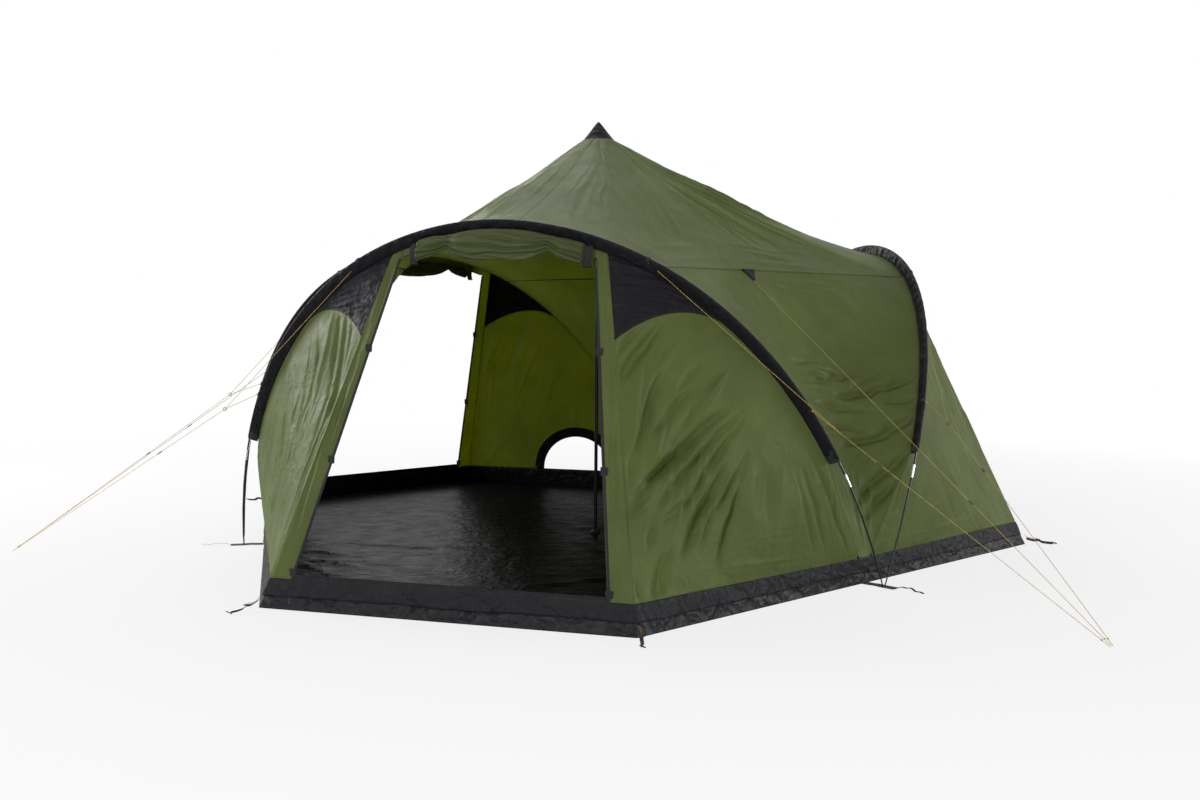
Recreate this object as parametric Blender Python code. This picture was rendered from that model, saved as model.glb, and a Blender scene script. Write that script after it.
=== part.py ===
"""Tipi tent on a six-sided base, held up by a centre pole and three leaning arch poles.

Metres, +Z up, origin on the ground under the centre pole. The front doorway faces -Y. Every bay is drawn once,
facing -Y, and set round the centre by an empty turned through a third of a circle; so is every foot, drawn on the
line from the centre to the foot.
"""

import math

import bmesh
import bpy
from mathutils import Vector
from mathutils.bvhtree import BVHTree

THIRD = math.radians(120.0)
BAYS = ("front", "right", "left")
FEET = ("right", "rear", "left")
FOOT_ANGLE = math.radians(-30.0)

# Outline of the tent
APEX_HEIGHT = 3.0
CORNER_RADIUS = 3.09
CORNER_ANGLE = math.radians(20.25)
LONG_SIDE_RADIUS = CORNER_RADIUS * math.cos(FOOT_ANGLE + math.radians(90.0) - CORNER_ANGLE)
LONG_SIDE_SLOPE = 0.08
WAIST_RADIUS = 1.41
WAIST_HEIGHT = 1.91
VALLEY_BULGE = 0.10
VALLEY_FOOT_HALF = 0.05
RIDGE_SAG = 0.33

# Arch poles
FOOT_OUTSET = 0.149279
FOOT_RADIUS = LONG_SIDE_RADIUS + FOOT_OUTSET
FOOT_SPREAD = 0.02
ARCH_RISE = 2.31
ARCH_LEAN = math.radians(22.0)
CROWN_REACH = 0.39
SHOULDER_X = 1.753
SHOULDER_RISE = 2.145
POLE_RADIUS = 0.00635
PIN_RADIUS = 0.004
PIN_LENGTH = 0.06
PIN_GROUND_GAP = 0.001
FERRULE_LENGTH = 0.085
FERRULE_WALL = 0.0012
FERRULE_GAP = 0.0004
FERRULE_HEIGHT = 0.665
JOINT_GAP = 0.0006
POLE_SIDES = 8
LEG_STEPS = 3

# Sleeves and gussets
SLEEVE_WIDTH = 0.062
SLEEVE_BORE_GAP = 0.0006
SLEEVE_WALL = 0.0020
SLEEVE_END_HEIGHT = 0.80
SEAM_ALLOWANCE = 0.012
GUSSET_END_X = 1.30
GUSSET_DROP = 0.53
GUSSET_CURVE = 1.45
SLEEVE_ARC_SIDES = 8

# Cloth
CLOTH = 0.0015
SEAM_GAP = 0.0004
JOIN_GAP = 0.0018

# Doorways
CREASE_TOP_X = 0.66
STRIP_TOP = 0.072
DOOR_ROWS = 5
STRIP_BOTTOM = 0.135
LINTEL = 0.055
HEM_TOP = 0.15
HEM_BOTTOM = 0.068
SILL_TOP = 0.182
SILL_STEP = 0.004
SIDE_PARTS = 3

# Half-round vent low in the left bay's rear panel
VENT_CENTRE_X = -0.87
VENT_RADIUS = 0.40
VENT_BORDER = 0.08
VENT_SIDES = 20
VENT_BORDER_STEPS = 2
VENT_GUIDE_DEPTH = 0.25

# Roof seam
ROOF_SEAM_X = 0.82

# Groundsheet
FLOOR = 0.0015
TUB_HEIGHT = 0.148
TUB_OFFSET = 0.0023
LOOP_WIDTH = 0.025
LOOP_LENGTH = 0.20
LOOP_SLOT_WIDTH = 0.013
LOOP_SLOT_LENGTH = 0.07
LOOP_ROOT = 0.03

# Foot straps
STRAP_WIDTH = 0.075
STRAP_THICKNESS = 0.002
STRAP_REACH = 0.07
STRAP_TAIL = 0.20
STRAP_TAIL_WIDTH = 0.025
EYELET_RADIUS = 0.0075

# Centre pole
LOWER_RADIUS = 0.0125
LOWER_TOP = 1.55
TUBE_WALL = 0.0012
UPPER_OVERLAP = 0.15
TUBE_GAP = 0.0004
BASE_RADIUS = 0.035
BASE_HEIGHT = 0.018
BASE_SOCKET = 0.010

# Apex cap
CAP_RADIUS = 0.115
CAP_HEIGHT = 0.13
CAP_WALL = 0.003
CAP_POCKET = 0.036
CAP_SIDES = 24
CAP_TIP_RADIUS = 0.006

# Door rolls
ROLL_HALF = 0.50
ROLL_RADIUS = 0.042
ROLL_SAG = 0.03
ROLL_TIES = (-0.26, 0.26)
ROLL_RINGS = 30
ROLL_SIDES = 12

# Zip pulls
PULL_WIDTH = 0.012
PULL_THICKNESS = 0.004
PULL_LENGTH = 0.045
PULL_DROP = 0.09

# Guy lines
LINE_RADIUS = 0.0015
LINE_GAP = 0.0004
TENSIONER_LENGTH = 0.036
TENSIONER_WIDTH = 0.013
TENSIONER_THICKNESS = 0.007
TENSIONER_BORE_GAP = 0.0005
UPPER_TAB = 0.43
LOWER_TAB = 0.775
BRIDLES = {
    "front_r": {"bay": 0, "side": 1, "ring": (1.965, -1.765, 0.945), "peg": (3.336, -2.350, 0.004), "slider": 0.15},
    "right_l": {"bay": 1, "side": -1, "ring": (2.515, -0.890, 0.965), "peg": (3.352, -2.326, 0.004), "slider": 0.25},
    "front_l": {"bay": 0, "side": -1, "ring": (-1.975, -1.780, 0.985), "peg": (-3.482, -1.966, 0.004), "slider": 0.30},
    "left_r": {"bay": 2, "side": 1, "ring": (-2.565, -0.780, 1.005), "peg": (-3.494, -1.940, 0.004), "slider": 0.40},
}
VALLEY_LINES = {
    "valley_r": {"foot": 0, "peg": (3.344, -2.338, 0.004), "slider": 0.67},
    "valley_l": {"foot": 2, "peg": (-3.488, -1.953, 0.004), "slider": 0.55},
}
TRIANGLE_DROP = 0.09


def material(name, colour, roughness, metallic=0.0):
    """A plain surface of one colour."""
    result = bpy.data.materials.new(name)
    result.use_nodes = True
    shader = result.node_tree.nodes["Principled BSDF"]
    shader.inputs["Base Color"].default_value = (*colour, 1.0)
    shader.inputs["Roughness"].default_value = roughness
    shader.inputs["Metallic"].default_value = metallic
    return result


def link(name, data, surface, parent=None):
    """Puts a mesh or a curve into the scene under its node's name."""
    if not data.materials:
        data.materials.append(surface)
    result = bpy.data.objects.new(name, data)
    result.parent = parent
    bpy.context.scene.collection.objects.link(result)
    return result


def mesh_from(name, verts, faces, smooth=True):
    """A mesh with its doubles merged and its faces turned outwards."""
    build = bmesh.new()
    points = [build.verts.new(v) for v in verts]
    for face in faces:
        build.faces.new([points[i] for i in face])
    bmesh.ops.recalc_face_normals(build, faces=build.faces)
    data = bpy.data.meshes.new(name)
    build.to_mesh(data)
    build.free()
    if smooth:
        data.shade_smooth()
        data.set_sharp_from_angle(angle=math.radians(35.0))
    return data


def ring_faces(start, count, ring_a, ring_b):
    """Quads between two rings of the same count."""
    faces = []
    for i in range(count):
        j = (i + 1) % count
        faces.append((start + ring_a * count + i, start + ring_a * count + j,
                      start + ring_b * count + j, start + ring_b * count + i))
    return faces


def loft(name, rings, smooth=True):
    """A solid through a row of rings, closed by a flat face at each end."""
    count = len(rings[0])
    verts = [v for ring in rings for v in ring]
    faces = []
    for k in range(len(rings) - 1):
        faces += ring_faces(0, count, k, k + 1)
    last = (len(rings) - 1) * count
    faces.append(tuple(range(count)))
    faces.append(tuple(range(last, last + count)))
    return mesh_from(name, verts, faces, smooth)


def hollow_loft(name, outer, inner, skin=None, smooth=True):
    """A tube through rows of outer and inner rings, each end closed by faces between the two."""
    wide, tight = len(outer[0]), len(inner[0])
    verts = [v for ring in outer for v in ring] + [v for ring in inner for v in ring]
    base = len(outer) * wide
    faces = list(skin or [])
    for k in range(len(outer) - 1):
        if skin is None:
            faces += ring_faces(0, wide, k, k + 1)
        faces += ring_faces(base, tight, k, k + 1)
    for row in (0, len(outer) - 1):
        edge = [row * wide + i for i in range(wide)]
        hole = [base + row * tight + i for i in range(tight)]
        faces += annulus(verts, edge, hole)
    return mesh_from(name, verts, faces, smooth)


def annulus(verts, edge, hole):
    """Triangles between an outer and an inner loop that start side by side and run the same way."""
    faces = []
    i = j = 0
    while i < len(edge) or j < len(hole):
        a, b = edge[i % len(edge)], hole[j % len(hole)]
        next_a, next_b = edge[(i + 1) % len(edge)], hole[(j + 1) % len(hole)]
        step_edge = j == len(hole)
        if i < len(edge) and j < len(hole):
            step_edge = (verts[next_a] - verts[b]).length < (verts[next_b] - verts[a]).length
        if step_edge:
            faces.append((a, next_a, b))
            i += 1
        else:
            faces.append((a, next_b, b))
            j += 1
    return faces


def lathe(name, profile, sides, smooth=True):
    """Turns a closed outline of (radius, height) points round Z; points on the axis become poles."""
    verts, rows = [], []
    for radius, height in profile:
        if radius < 1e-6:
            rows.append([len(verts)] * sides)
            verts.append(Vector((0.0, 0.0, height)))
            continue
        rows.append([len(verts) + i for i in range(sides)])
        for i in range(sides):
            angle = 2.0 * math.pi * i / sides
            verts.append(Vector((radius * math.cos(angle), radius * math.sin(angle), height)))
    faces = []
    for k, row in enumerate(rows):
        after = rows[(k + 1) % len(rows)]
        for i in range(sides):
            j = (i + 1) % sides
            corners = list(dict.fromkeys((row[i], row[j], after[j], after[i])))
            if len(corners) > 2:
                faces.append(tuple(corners))
    return mesh_from(name, verts, faces, smooth)


def cloth_sheet(name, grid, surface, parent=None, skip=None):
    """A thin sheet over a grid of points, in rows; cells that skip names are left open.

    Each cell is two triangles, so that both faces of the cloth bend along the same line.
    """
    rows, columns = len(grid), len(grid[0])
    build = bmesh.new()
    points = {}

    def vertex(i, j):
        if (i, j) not in points:
            points[i, j] = build.verts.new(grid[i][j])
        return points[i, j]

    for i in range(rows - 1):
        for j in range(columns - 1):
            if skip and skip(i, j):
                continue
            cell = (vertex(i, j), vertex(i + 1, j), vertex(i + 1, j + 1), vertex(i, j + 1))
            turn = 0 if j < (columns - 1) / 2 else 1
            build.faces.new((cell[turn], cell[turn + 1], cell[turn + 2]))
            build.faces.new((cell[turn], cell[turn + 2], cell[turn - 1]))
    data = bpy.data.meshes.new(name)
    build.to_mesh(data)
    build.free()
    data.shade_smooth()
    result = link(name, data, surface, parent)
    wall = result.modifiers.new("thickness", "SOLIDIFY")
    wall.thickness = CLOTH
    wall.offset = 0.0
    return result


# The arch and what follows from it, in a bay that faces -Y


def arch_flat(u):
    """Place in the arch's own plane at u, from -1 at the left foot through 0 at the top to 1 at the right foot."""
    t = abs(u)
    foot_x = FOOT_RADIUS * math.cos(FOOT_ANGLE) - FOOT_SPREAD
    points = ((0.0, ARCH_RISE), (CROWN_REACH, ARCH_RISE), (SHOULDER_X, SHOULDER_RISE), (foot_x, 0.0))
    weights = ((1 - t) ** 3, 3 * t * (1 - t) ** 2, 3 * t * t * (1 - t), t ** 3)
    x = sum(w * p[0] for w, p in zip(weights, points))
    rise = sum(w * p[1] for w, p in zip(weights, points))
    return math.copysign(x, u), rise


def from_plane(x, rise):
    """A step in the leaning plane, as a step in space."""
    return Vector((x, -rise * math.sin(ARCH_LEAN), rise * math.cos(ARCH_LEAN)))


PLANE_NORMAL = Vector((0.0, -math.cos(ARCH_LEAN), -math.sin(ARCH_LEAN)))


def arch_point(u):
    """Centre of the arch pole."""
    return from_plane(*arch_flat(u)) + Vector((0.0, FOOT_RADIUS * math.sin(FOOT_ANGLE), 0.0))


def arch_inward(u):
    """Direction in the arch's plane, square to the pole, towards the doorway."""
    step = 1e-4
    a, b = arch_flat(max(u - step, -1.0)), arch_flat(min(u + step, 1.0))
    return from_plane(b[1] - a[1], a[0] - b[0]).normalized()


def junction(u):
    """Where the sleeve, the roof and the wall are sewn together."""
    return arch_point(u) + arch_inward(u) * SLEEVE_WIDTH


def find(test, low, high):
    """The value between low and high at which test turns from false to true."""
    for _ in range(60):
        middle = (low + high) / 2.0
        if test(middle):
            high = middle
        else:
            low = middle
    return (low + high) / 2.0


def station_at_x(x):
    return find(lambda u: junction(u).x > x, 0.0, 0.95)


def station_at_height(height):
    return find(lambda u: arch_point(u).z < height, 0.0, 1.0)


U_CREASE = station_at_x(CREASE_TOP_X)
U_DOOR = station_at_x(CREASE_TOP_X - STRIP_TOP)
U_SEAM = station_at_x(ROOF_SEAM_X)
U_GUSSET = station_at_x(GUSSET_END_X)
U_END = station_at_height(SLEEVE_END_HEIGHT)
U_JOINT = station_at_height(FERRULE_HEIGHT)
FACE_STEPS = 4
GUSSET_STEPS = 5
LOWER_STEPS = 5
SEAM_STEPS = 3


def spread(start, end, steps):
    """Even values after start, up to end."""
    return [start + (end - start) * (k + 1) / steps for k in range(steps)]


FACE_STATIONS = [0.0] + spread(0.0, U_DOOR, FACE_STEPS) + [U_CREASE]
SIDE_STATIONS = [U_SEAM] + spread(U_SEAM, U_GUSSET, GUSSET_STEPS) + spread(U_GUSSET, U_END, LOWER_STEPS)


def long_side_distance(height):
    """From the centre to the long side that a foot stands at."""
    return LONG_SIDE_RADIUS - height * LONG_SIDE_SLOPE


def corner(height, side=1):
    """The bay's corner at a height, on the crease from the ground to the sleeve."""
    ground = Vector((CORNER_RADIUS * math.sin(CORNER_ANGLE), -CORNER_RADIUS * math.cos(CORNER_ANGLE), 0.0))
    top = junction(U_CREASE)
    place = ground.lerp(top, height / top.z)
    place.x *= side
    return place


def foot_middle(height):
    """The middle of the long side, at the foot to the right of the bay."""
    reach = long_side_distance(height)
    return Vector((reach * math.cos(FOOT_ANGLE), reach * math.sin(FOOT_ANGLE), height))


ALONG_SIDE = Vector((-math.sin(FOOT_ANGLE), math.cos(FOOT_ANGLE), 0.0))


def side_seam_foot():
    """Lower end of the seam between the bay's side panel and the valley wall."""
    return foot_middle(HEM_TOP) - ALONG_SIDE * VALLEY_FOOT_HALF


def side_seam():
    """Points down the seam from the sleeve's end to the hem."""
    start, end = junction(U_END), side_seam_foot()
    return [start.lerp(end, (k + 1) / SEAM_STEPS) for k in range(SEAM_STEPS)]


def gusset_depth(u):
    """How far the charcoal cloth reaches down the wall from the sleeve."""
    x, start = junction(u).x, junction(U_CREASE).x
    share = (x - start) / (GUSSET_END_X - start)
    if share >= 1.0:
        return SEAM_ALLOWANCE
    return SEAM_ALLOWANCE + (GUSSET_DROP - SEAM_ALLOWANCE) * (1.0 - max(share, 0.0)) ** GUSSET_CURVE


def side_rulings():
    """The side panel's straight threads: (top, base, depth of what is sewn above), crease to foot."""
    tops = [junction(U_CREASE)] + [junction(u) for u in SIDE_STATIONS]
    depths = [gusset_depth(U_CREASE)] + [gusset_depth(u) for u in SIDE_STATIONS]
    seam = side_seam()
    away = (corner(HEM_TOP) - side_seam_foot()).normalized() * SEAM_GAP
    lengths = [0.0]
    for a, b in zip(tops + seam, (tops + seam)[1:]):
        lengths.append(lengths[-1] + (b - a).length)
    start, end = corner(HEM_TOP), side_seam_foot()
    rulings = []
    for k, top in enumerate(tops + seam):
        base = start.lerp(end, lengths[k] / lengths[-1]) + away * (k >= len(tops))
        if k < len(tops):
            rulings.append((top, base, depths[k]))
        elif k < len(tops) + len(seam) - 1:
            rulings.append((top + away, base, -SEAM_GAP))
    last_top = seam[-2].lerp(seam[-1], 0.9) + away
    last_base = start.lerp(end, 0.985)
    rulings.append((last_top, last_base, -SEAM_GAP))
    return rulings


def ruling_point(ruling, distance):
    return ruling[0] + (ruling[1] - ruling[0]).normalized() * distance


def mirrored(point):
    return Vector((-point.x, point.y, point.z))


# Poles


def pole_ring(u, radius, sides=POLE_SIDES):
    """A circle square to the arch pole."""
    centre, inward = arch_point(u), arch_inward(u)
    ring = []
    for i in range(sides):
        angle = 2.0 * math.pi * i / sides
        ring.append(centre + inward * radius * math.cos(angle) + PLANE_NORMAL * radius * math.sin(angle))
    return ring


def station_beyond(u, distance):
    """The station a distance further down the pole, or further up when it is negative."""
    start = arch_point(u)
    if distance >= 0.0:
        return find(lambda v: (arch_point(v) - start).length > distance, u, 1.0)
    return find(lambda v: (arch_point(v) - start).length < -distance, 0.0, u)


def sleeve_stations():
    half = FACE_STATIONS[1:] + SIDE_STATIONS
    return [-u for u in reversed(half)] + [0.0] + half


def crown_mesh():
    """The rod through the sleeve, down to the middle of each ferrule."""
    ends = [station_beyond(U_JOINT, -FERRULE_LENGTH / 2), station_beyond(U_JOINT, -JOINT_GAP)]
    stations = [-u for u in reversed(ends)] + sleeve_stations() + ends
    return loft("arch_crown", [pole_ring(u, POLE_RADIUS) for u in stations])


def leg_mesh():
    """The bare lower rod from the ferrule's middle to its end pin, at the bay's right foot."""
    tip = station_at_height(PIN_GROUND_GAP + PIN_RADIUS)
    shoulder = station_beyond(tip, -PIN_LENGTH)
    top = station_beyond(U_JOINT, JOINT_GAP)
    low = station_beyond(U_JOINT, FERRULE_LENGTH / 2)
    rings = [pole_ring(u, POLE_RADIUS) for u in [top, low] + spread(low, shoulder, LEG_STEPS)]
    rings += [pole_ring(station_beyond(shoulder, 0.002), PIN_RADIUS), pole_ring(tip, PIN_RADIUS)]
    return loft("arch_leg", rings)


def ferrule_mesh():
    """The tube that joins rod and leg."""
    ends = [station_beyond(U_JOINT, -FERRULE_LENGTH / 2), U_JOINT, station_beyond(U_JOINT, FERRULE_LENGTH / 2)]
    inner = POLE_RADIUS + FERRULE_GAP
    return hollow_loft("ferrule", [pole_ring(u, inner + FERRULE_WALL) for u in ends],
                       [pole_ring(u, inner) for u in ends])


def flip_mesh(source, name):
    """The mirror image of a mesh in the bay's middle plane."""
    verts = [mirrored(v.co) for v in source.vertices]
    faces = [tuple(reversed(p.vertices)) for p in source.polygons]
    return mesh_from(name, verts, faces)


# Sleeves with their gussets


def sleeve_section(u, depth):
    """Round the pole, out along the fin to the junction, and down the wall for a depth."""
    centre, inward = arch_point(abs(u)), arch_inward(abs(u))
    radius = POLE_RADIUS + SLEEVE_BORE_GAP + SLEEVE_WALL
    half = CLOTH / 2
    opening = math.asin(half / radius)
    ring = []
    for i in range(SLEEVE_ARC_SIDES + 1):
        angle = opening + (2.0 * math.pi - 2.0 * opening) * i / SLEEVE_ARC_SIDES
        ring.append(centre + inward * radius * math.cos(angle) + PLANE_NORMAL * radius * math.sin(angle))
    joint = centre + inward * SLEEVE_WIDTH
    down = wall_direction(abs(u))
    across = (down - inward * down.dot(inward)).normalized()
    side = PLANE_NORMAL if across.dot(PLANE_NORMAL) < 0.0 else -PLANE_NORMAL
    bend = (side + (side - down * side.dot(down)).normalized()).normalized()
    wall_side = (side - down * side.dot(down)).normalized()
    end = joint + down * depth
    tail = [joint + bend * half, end + wall_side * half, end - wall_side * half, joint - bend * half]
    if side == PLANE_NORMAL:
        tail = list(reversed(tail))
    section = ring + tail
    if u < 0.0:
        section = [mirrored(p) for p in section]
    return section


def wall_direction(u):
    """Down the wall from the junction at u, in the right half of the bay."""
    if u <= U_CREASE:
        top = junction(u)
        share = top.x / junction(U_CREASE).x
        base = corner(HEM_TOP)
        return (Vector((base.x * share, base.y, base.z)) - top).normalized()
    tops = [U_CREASE] + SIDE_STATIONS
    rulings = side_rulings()
    for k in range(len(tops) - 1):
        if u <= tops[k + 1] + 1e-9:
            share = (u - tops[k]) / (tops[k + 1] - tops[k])
            a = (rulings[k][1] - rulings[k][0]).normalized()
            b = (rulings[k + 1][1] - rulings[k + 1][0]).normalized()
            return a.lerp(b, share).normalized()
    return (rulings[len(tops) - 1][1] - rulings[len(tops) - 1][0]).normalized()


def sewn_faces(wide, row, outward):
    """Outer faces between two stations, with the two sides of the fin and gusset split alike."""
    near, far = (row * wide, row * wide + wide) if outward else (row * wide + wide, row * wide)
    faces = []
    for i in range(wide):
        j = (i + 1) % wide
        if i < SLEEVE_ARC_SIDES + 3:
            faces += [(near + i, near + j, far + j), (near + i, far + j, far + i)]
        else:
            faces += [(near + j, near + i, far + i), (near + j, far + i, far + j)]
    return faces


def sleeve_mesh():
    """Sleeve, fin and both gussets as one sewn piece with the pole's bore through it."""
    inner_edge = station_at_x(CREASE_TOP_X + SEAM_GAP * 1.5)
    outer_edge = station_at_x(CREASE_TOP_X + SEAM_GAP * 3.0)
    share = (outer_edge - U_CREASE) / (U_SEAM - U_CREASE)
    corner_depth = gusset_depth(U_CREASE) * (1.0 - share) + gusset_depth(U_SEAM) * share
    half = [(u, SEAM_ALLOWANCE) for u in FACE_STATIONS[1:]]
    half += [(inner_edge, SEAM_ALLOWANCE), (outer_edge, corner_depth)]
    half += [(u, gusset_depth(u)) for u in SIDE_STATIONS]
    stations = [(-u, d) for u, d in reversed(half)] + [(0.0, SEAM_ALLOWANCE)] + half
    outer = [sleeve_section(u, d) for u, d in stations]
    bore = [bore_ring(u) for u, d in stations]
    wide, halfway = len(outer[0]), len(half)
    skin = [face for k in range(len(outer) - 1) for face in sewn_faces(wide, k, k >= halfway)]
    return hollow_loft("arch_sleeve", outer, bore, skin)


def bore_ring(u):
    ring = pole_ring(abs(u), POLE_RADIUS + SLEEVE_BORE_GAP)
    return [mirrored(p) for p in ring] if u < 0.0 else ring


# Bay walls and doors


def wall_columns():
    """The wall's threads from the middle of the doorway to the right foot."""
    face = [(junction(u), None, SEAM_ALLOWANCE) for u in FACE_STATIONS[:-1]]
    edge_x = face[-1][0].x
    base = corner(HEM_TOP)
    columns = []
    for top, _, depth in face:
        share = top.x / edge_x
        columns.append((top, Vector((share * (base.x - STRIP_BOTTOM), base.y, base.z)), depth))
    return columns + side_rulings()


ROW_SHARES = (0.0, 0.2, 0.4, 0.6, 0.8, 1.0)


def column_points(ruling, is_face):
    """Places down one thread, at the wall's shared rows."""
    length = (ruling[1] - ruling[0]).length
    end = length - SEAM_GAP
    upper = [SEAM_ALLOWANCE + 2 * SEAM_GAP, LINTEL] if is_face else [0.0, 0.0]
    start = GUSSET_DROP + 2 * SEAM_GAP if is_face else ruling[2] + 2 * SEAM_GAP
    distances = upper + [start + (end - start) * share for share in ROW_SHARES]
    return [ruling_point(ruling, d) for d in distances]


def wall_grid():
    """The bay's sheet as rows of points, with the number of its threads in half of the face."""
    right = wall_columns()
    face_count = len(FACE_STATIONS)
    columns = [column_points(r, k < face_count) for k, r in enumerate(right)]
    shift = (columns[face_count - 2][0] - columns[face_count - 1][0]).normalized() * SEAM_GAP
    for row in (0, 1):
        columns[face_count - 1][row] = columns[face_count - 1][row] + shift
    left = [[mirrored(p) for p in column] for column in reversed(columns[1:])]
    both = left + columns
    return [[column[row] for column in both] for row in range(len(both[0]))], face_count


def wall_tree(angle):
    """The wall's surface turned about the centre, to find places on it."""
    grid, _ = wall_grid()
    wide = len(grid[0])
    verts = [turned(p, angle) for row in grid for p in row]
    faces = [(i * wide + j, (i + 1) * wide + j, (i + 1) * wide + j + 1, i * wide + j + 1)
             for i in range(2, len(grid) - 1) for j in range(wide - 1)]
    return BVHTree.FromPolygons(verts, faces)


def wall_object(name, surface, parent):
    """The bay's sheet: side panels, door strips and lintel, open at the doorway."""
    grid, face_count = wall_grid()
    middle = (len(grid[0]) - 1) // 2

    def skip(row, cell):
        inner = min(abs(cell - middle), abs(cell + 1 - middle))
        if row < 2:
            return inner >= face_count - 1 or (row == 1 and inner < face_count - 2)
        return inner < face_count - 2

    return cloth_sheet(name, grid, surface, parent, skip)


def door_object(name, surface, parent):
    """A closed door, hung in the doorway with a seam's gap all round."""
    edge = 2 * SEAM_GAP
    right = []
    for ruling in wall_columns()[:len(FACE_STATIONS) - 1]:
        length = (ruling[1] - ruling[0]).length
        low = length * (1.0 - (SILL_TOP + edge - HEM_TOP) / (ruling[0].z - HEM_TOP))
        steps = [LINTEL + edge + (low - LINTEL - edge) * row / DOOR_ROWS for row in range(DOOR_ROWS + 1)]
        right.append([ruling_point(ruling, d) for d in steps])
    right[-1] = [Vector((p.x - edge, p.y, p.z)) for p in right[-1]]
    columns = [[mirrored(p) for p in line] for line in reversed(right[1:])] + right
    grid = [[column[row] for column in columns] for row in range(DOOR_ROWS + 1)]
    return cloth_sheet(name, grid, surface, parent)


def vent_cutter():
    """A half disc standing on the hem, as a guide that is not part of the tent."""
    outline = [(VENT_RADIUS * math.cos(math.pi * i / VENT_SIDES), VENT_RADIUS * math.sin(math.pi * i / VENT_SIDES))
               for i in range(VENT_SIDES + 1)]
    outline += [(-VENT_RADIUS, -HEM_BOTTOM), (VENT_RADIUS, -HEM_BOTTOM)]
    middle_y = long_side_distance(HEM_TOP)
    rings = []
    for y in (middle_y - VENT_GUIDE_DEPTH, middle_y + VENT_GUIDE_DEPTH):
        rings.append([Vector((VENT_CENTRE_X + x, y, HEM_TOP + z)) for x, z in outline])
    cutter = link("vent_guide", loft("vent_guide", rings, smooth=False), SURFACES["charcoal"])
    cutter.hide_render = True
    cutter.display_type = "WIRE"
    return cutter


def vent_border_object(surface, parent):
    """The border inside the vent's edge, on the same surface as the wall round it."""
    tree = wall_tree(parent.rotation_euler.z)
    outer = VENT_RADIUS - 2 * SEAM_GAP
    rows = []
    for step in range(VENT_BORDER_STEPS + 1):
        radius = outer - VENT_BORDER * step / VENT_BORDER_STEPS
        row = []
        for k in range(VENT_SIDES + 1):
            angle = math.pi * k / VENT_SIDES
            x, z = VENT_CENTRE_X + radius * math.cos(angle), HEM_TOP + SEAM_GAP + radius * math.sin(angle)
            place = tree.ray_cast(Vector((x, APEX_HEIGHT, z)), Vector((0.0, -1.0, 0.0)))[0]
            row.append(turned(place, -parent.rotation_euler.z))
        rows.append(row)
    return cloth_sheet("vent_border", rows, surface, parent)


def cut(target, cutter, operation="DIFFERENCE"):
    step = target.modifiers.new(cutter.name, "BOOLEAN")
    step.object = cutter
    step.operation = operation
    step.solver = "EXACT"


# Roof and valley walls, on the line from the centre to a foot


def in_foot_frame(point):
    """From the bay's frame to one whose X runs from the centre to the right foot."""
    reach = Vector((math.cos(FOOT_ANGLE), math.sin(FOOT_ANGLE), 0.0))
    return Vector((point.dot(reach), point.dot(ALONG_SIDE), point.z))


def across(point):
    return Vector((point.x, -point.y, point.z))


def valley_edge():
    """The bay's side of the valley wall, from the roof seam down to the hem."""
    places = [junction(u) for u in SIDE_STATIONS] + side_seam()
    return [in_foot_frame(p) for p in places]


def valley_row(edge, top, bottom, cells):
    """One thread of the valley wall, from a point of the bay's edge across to its mirror image."""
    share = (top.z - edge.z) / (top.z - bottom.z)
    middle = WAIST_RADIUS + (bottom.x - WAIST_RADIUS) * share + VALLEY_BULGE * 4.0 * share * (1.0 - share)
    drop = (top.z - WAIST_HEIGHT) * (1.0 - share)
    row = []
    for k in range(-cells, cells + 1):
        s = k / cells
        row.append(Vector((middle + (edge.x - middle) * s * s, -edge.y * s, edge.z - drop * (1.0 - s * s))))
    return row


VALLEY_CELLS = 5


def pull(point, neighbour, distance):
    """A point moved towards its neighbour."""
    return point + (neighbour - point).normalized() * distance


def valley_grid():
    edge = valley_edge()
    rows = [valley_row(e, edge[0], edge[-1], VALLEY_CELLS) for e in edge]
    sewn = len(SIDE_STATIONS)
    for k, row in enumerate(rows):
        gap = JOIN_GAP if k < sewn else SEAM_GAP
        row[0] = pull(row[0], row[1], gap)
        row[-1] = pull(row[-1], row[-2], gap)
    rows[0] = [pull(p, q, SEAM_GAP) for p, q in zip(rows[0], rows[1])]
    rows[-1] = [pull(p, q, SEAM_GAP) for p, q in zip(rows[-1], rows[-2])]
    return rows


ROOF_ROWS = 8


def roof_edge():
    """The roof sector's lower edge, ridge to ridge: sleeve, seam, sleeve."""
    edge = valley_edge()
    seam = valley_row(edge[0], edge[0], edge[-1], VALLEY_CELLS)
    sleeve = [in_foot_frame(junction(u)) for u in FACE_STATIONS]
    return sleeve, seam, [across(p) for p in reversed(sleeve)]


def roof_thread(low):
    """From the cap's rim down to a point of the roof's lower edge, hanging in a shallow curve."""
    angle = math.atan2(low.y, low.x)
    ridge = min(abs(angle) / math.radians(60.0), 1.0)
    power = 1.0 + RIDGE_SAG * ridge * ridge * (3.0 - 2.0 * ridge)
    rim = CAP_RADIUS - CAP_WALL / 2
    top = APEX_HEIGHT - CAP_HEIGHT - CLOTH - SEAM_GAP
    reach = math.hypot(low.x, low.y)
    thread = []
    for k in range(ROOF_ROWS + 1):
        share = (k / ROOF_ROWS) ** 1.2
        radius = rim + (reach - rim) * share
        height = low.z + (top - low.z) * (1.0 - share) ** power
        thread.append(Vector((radius * math.cos(angle), radius * math.sin(angle), height)))
    return thread


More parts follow.
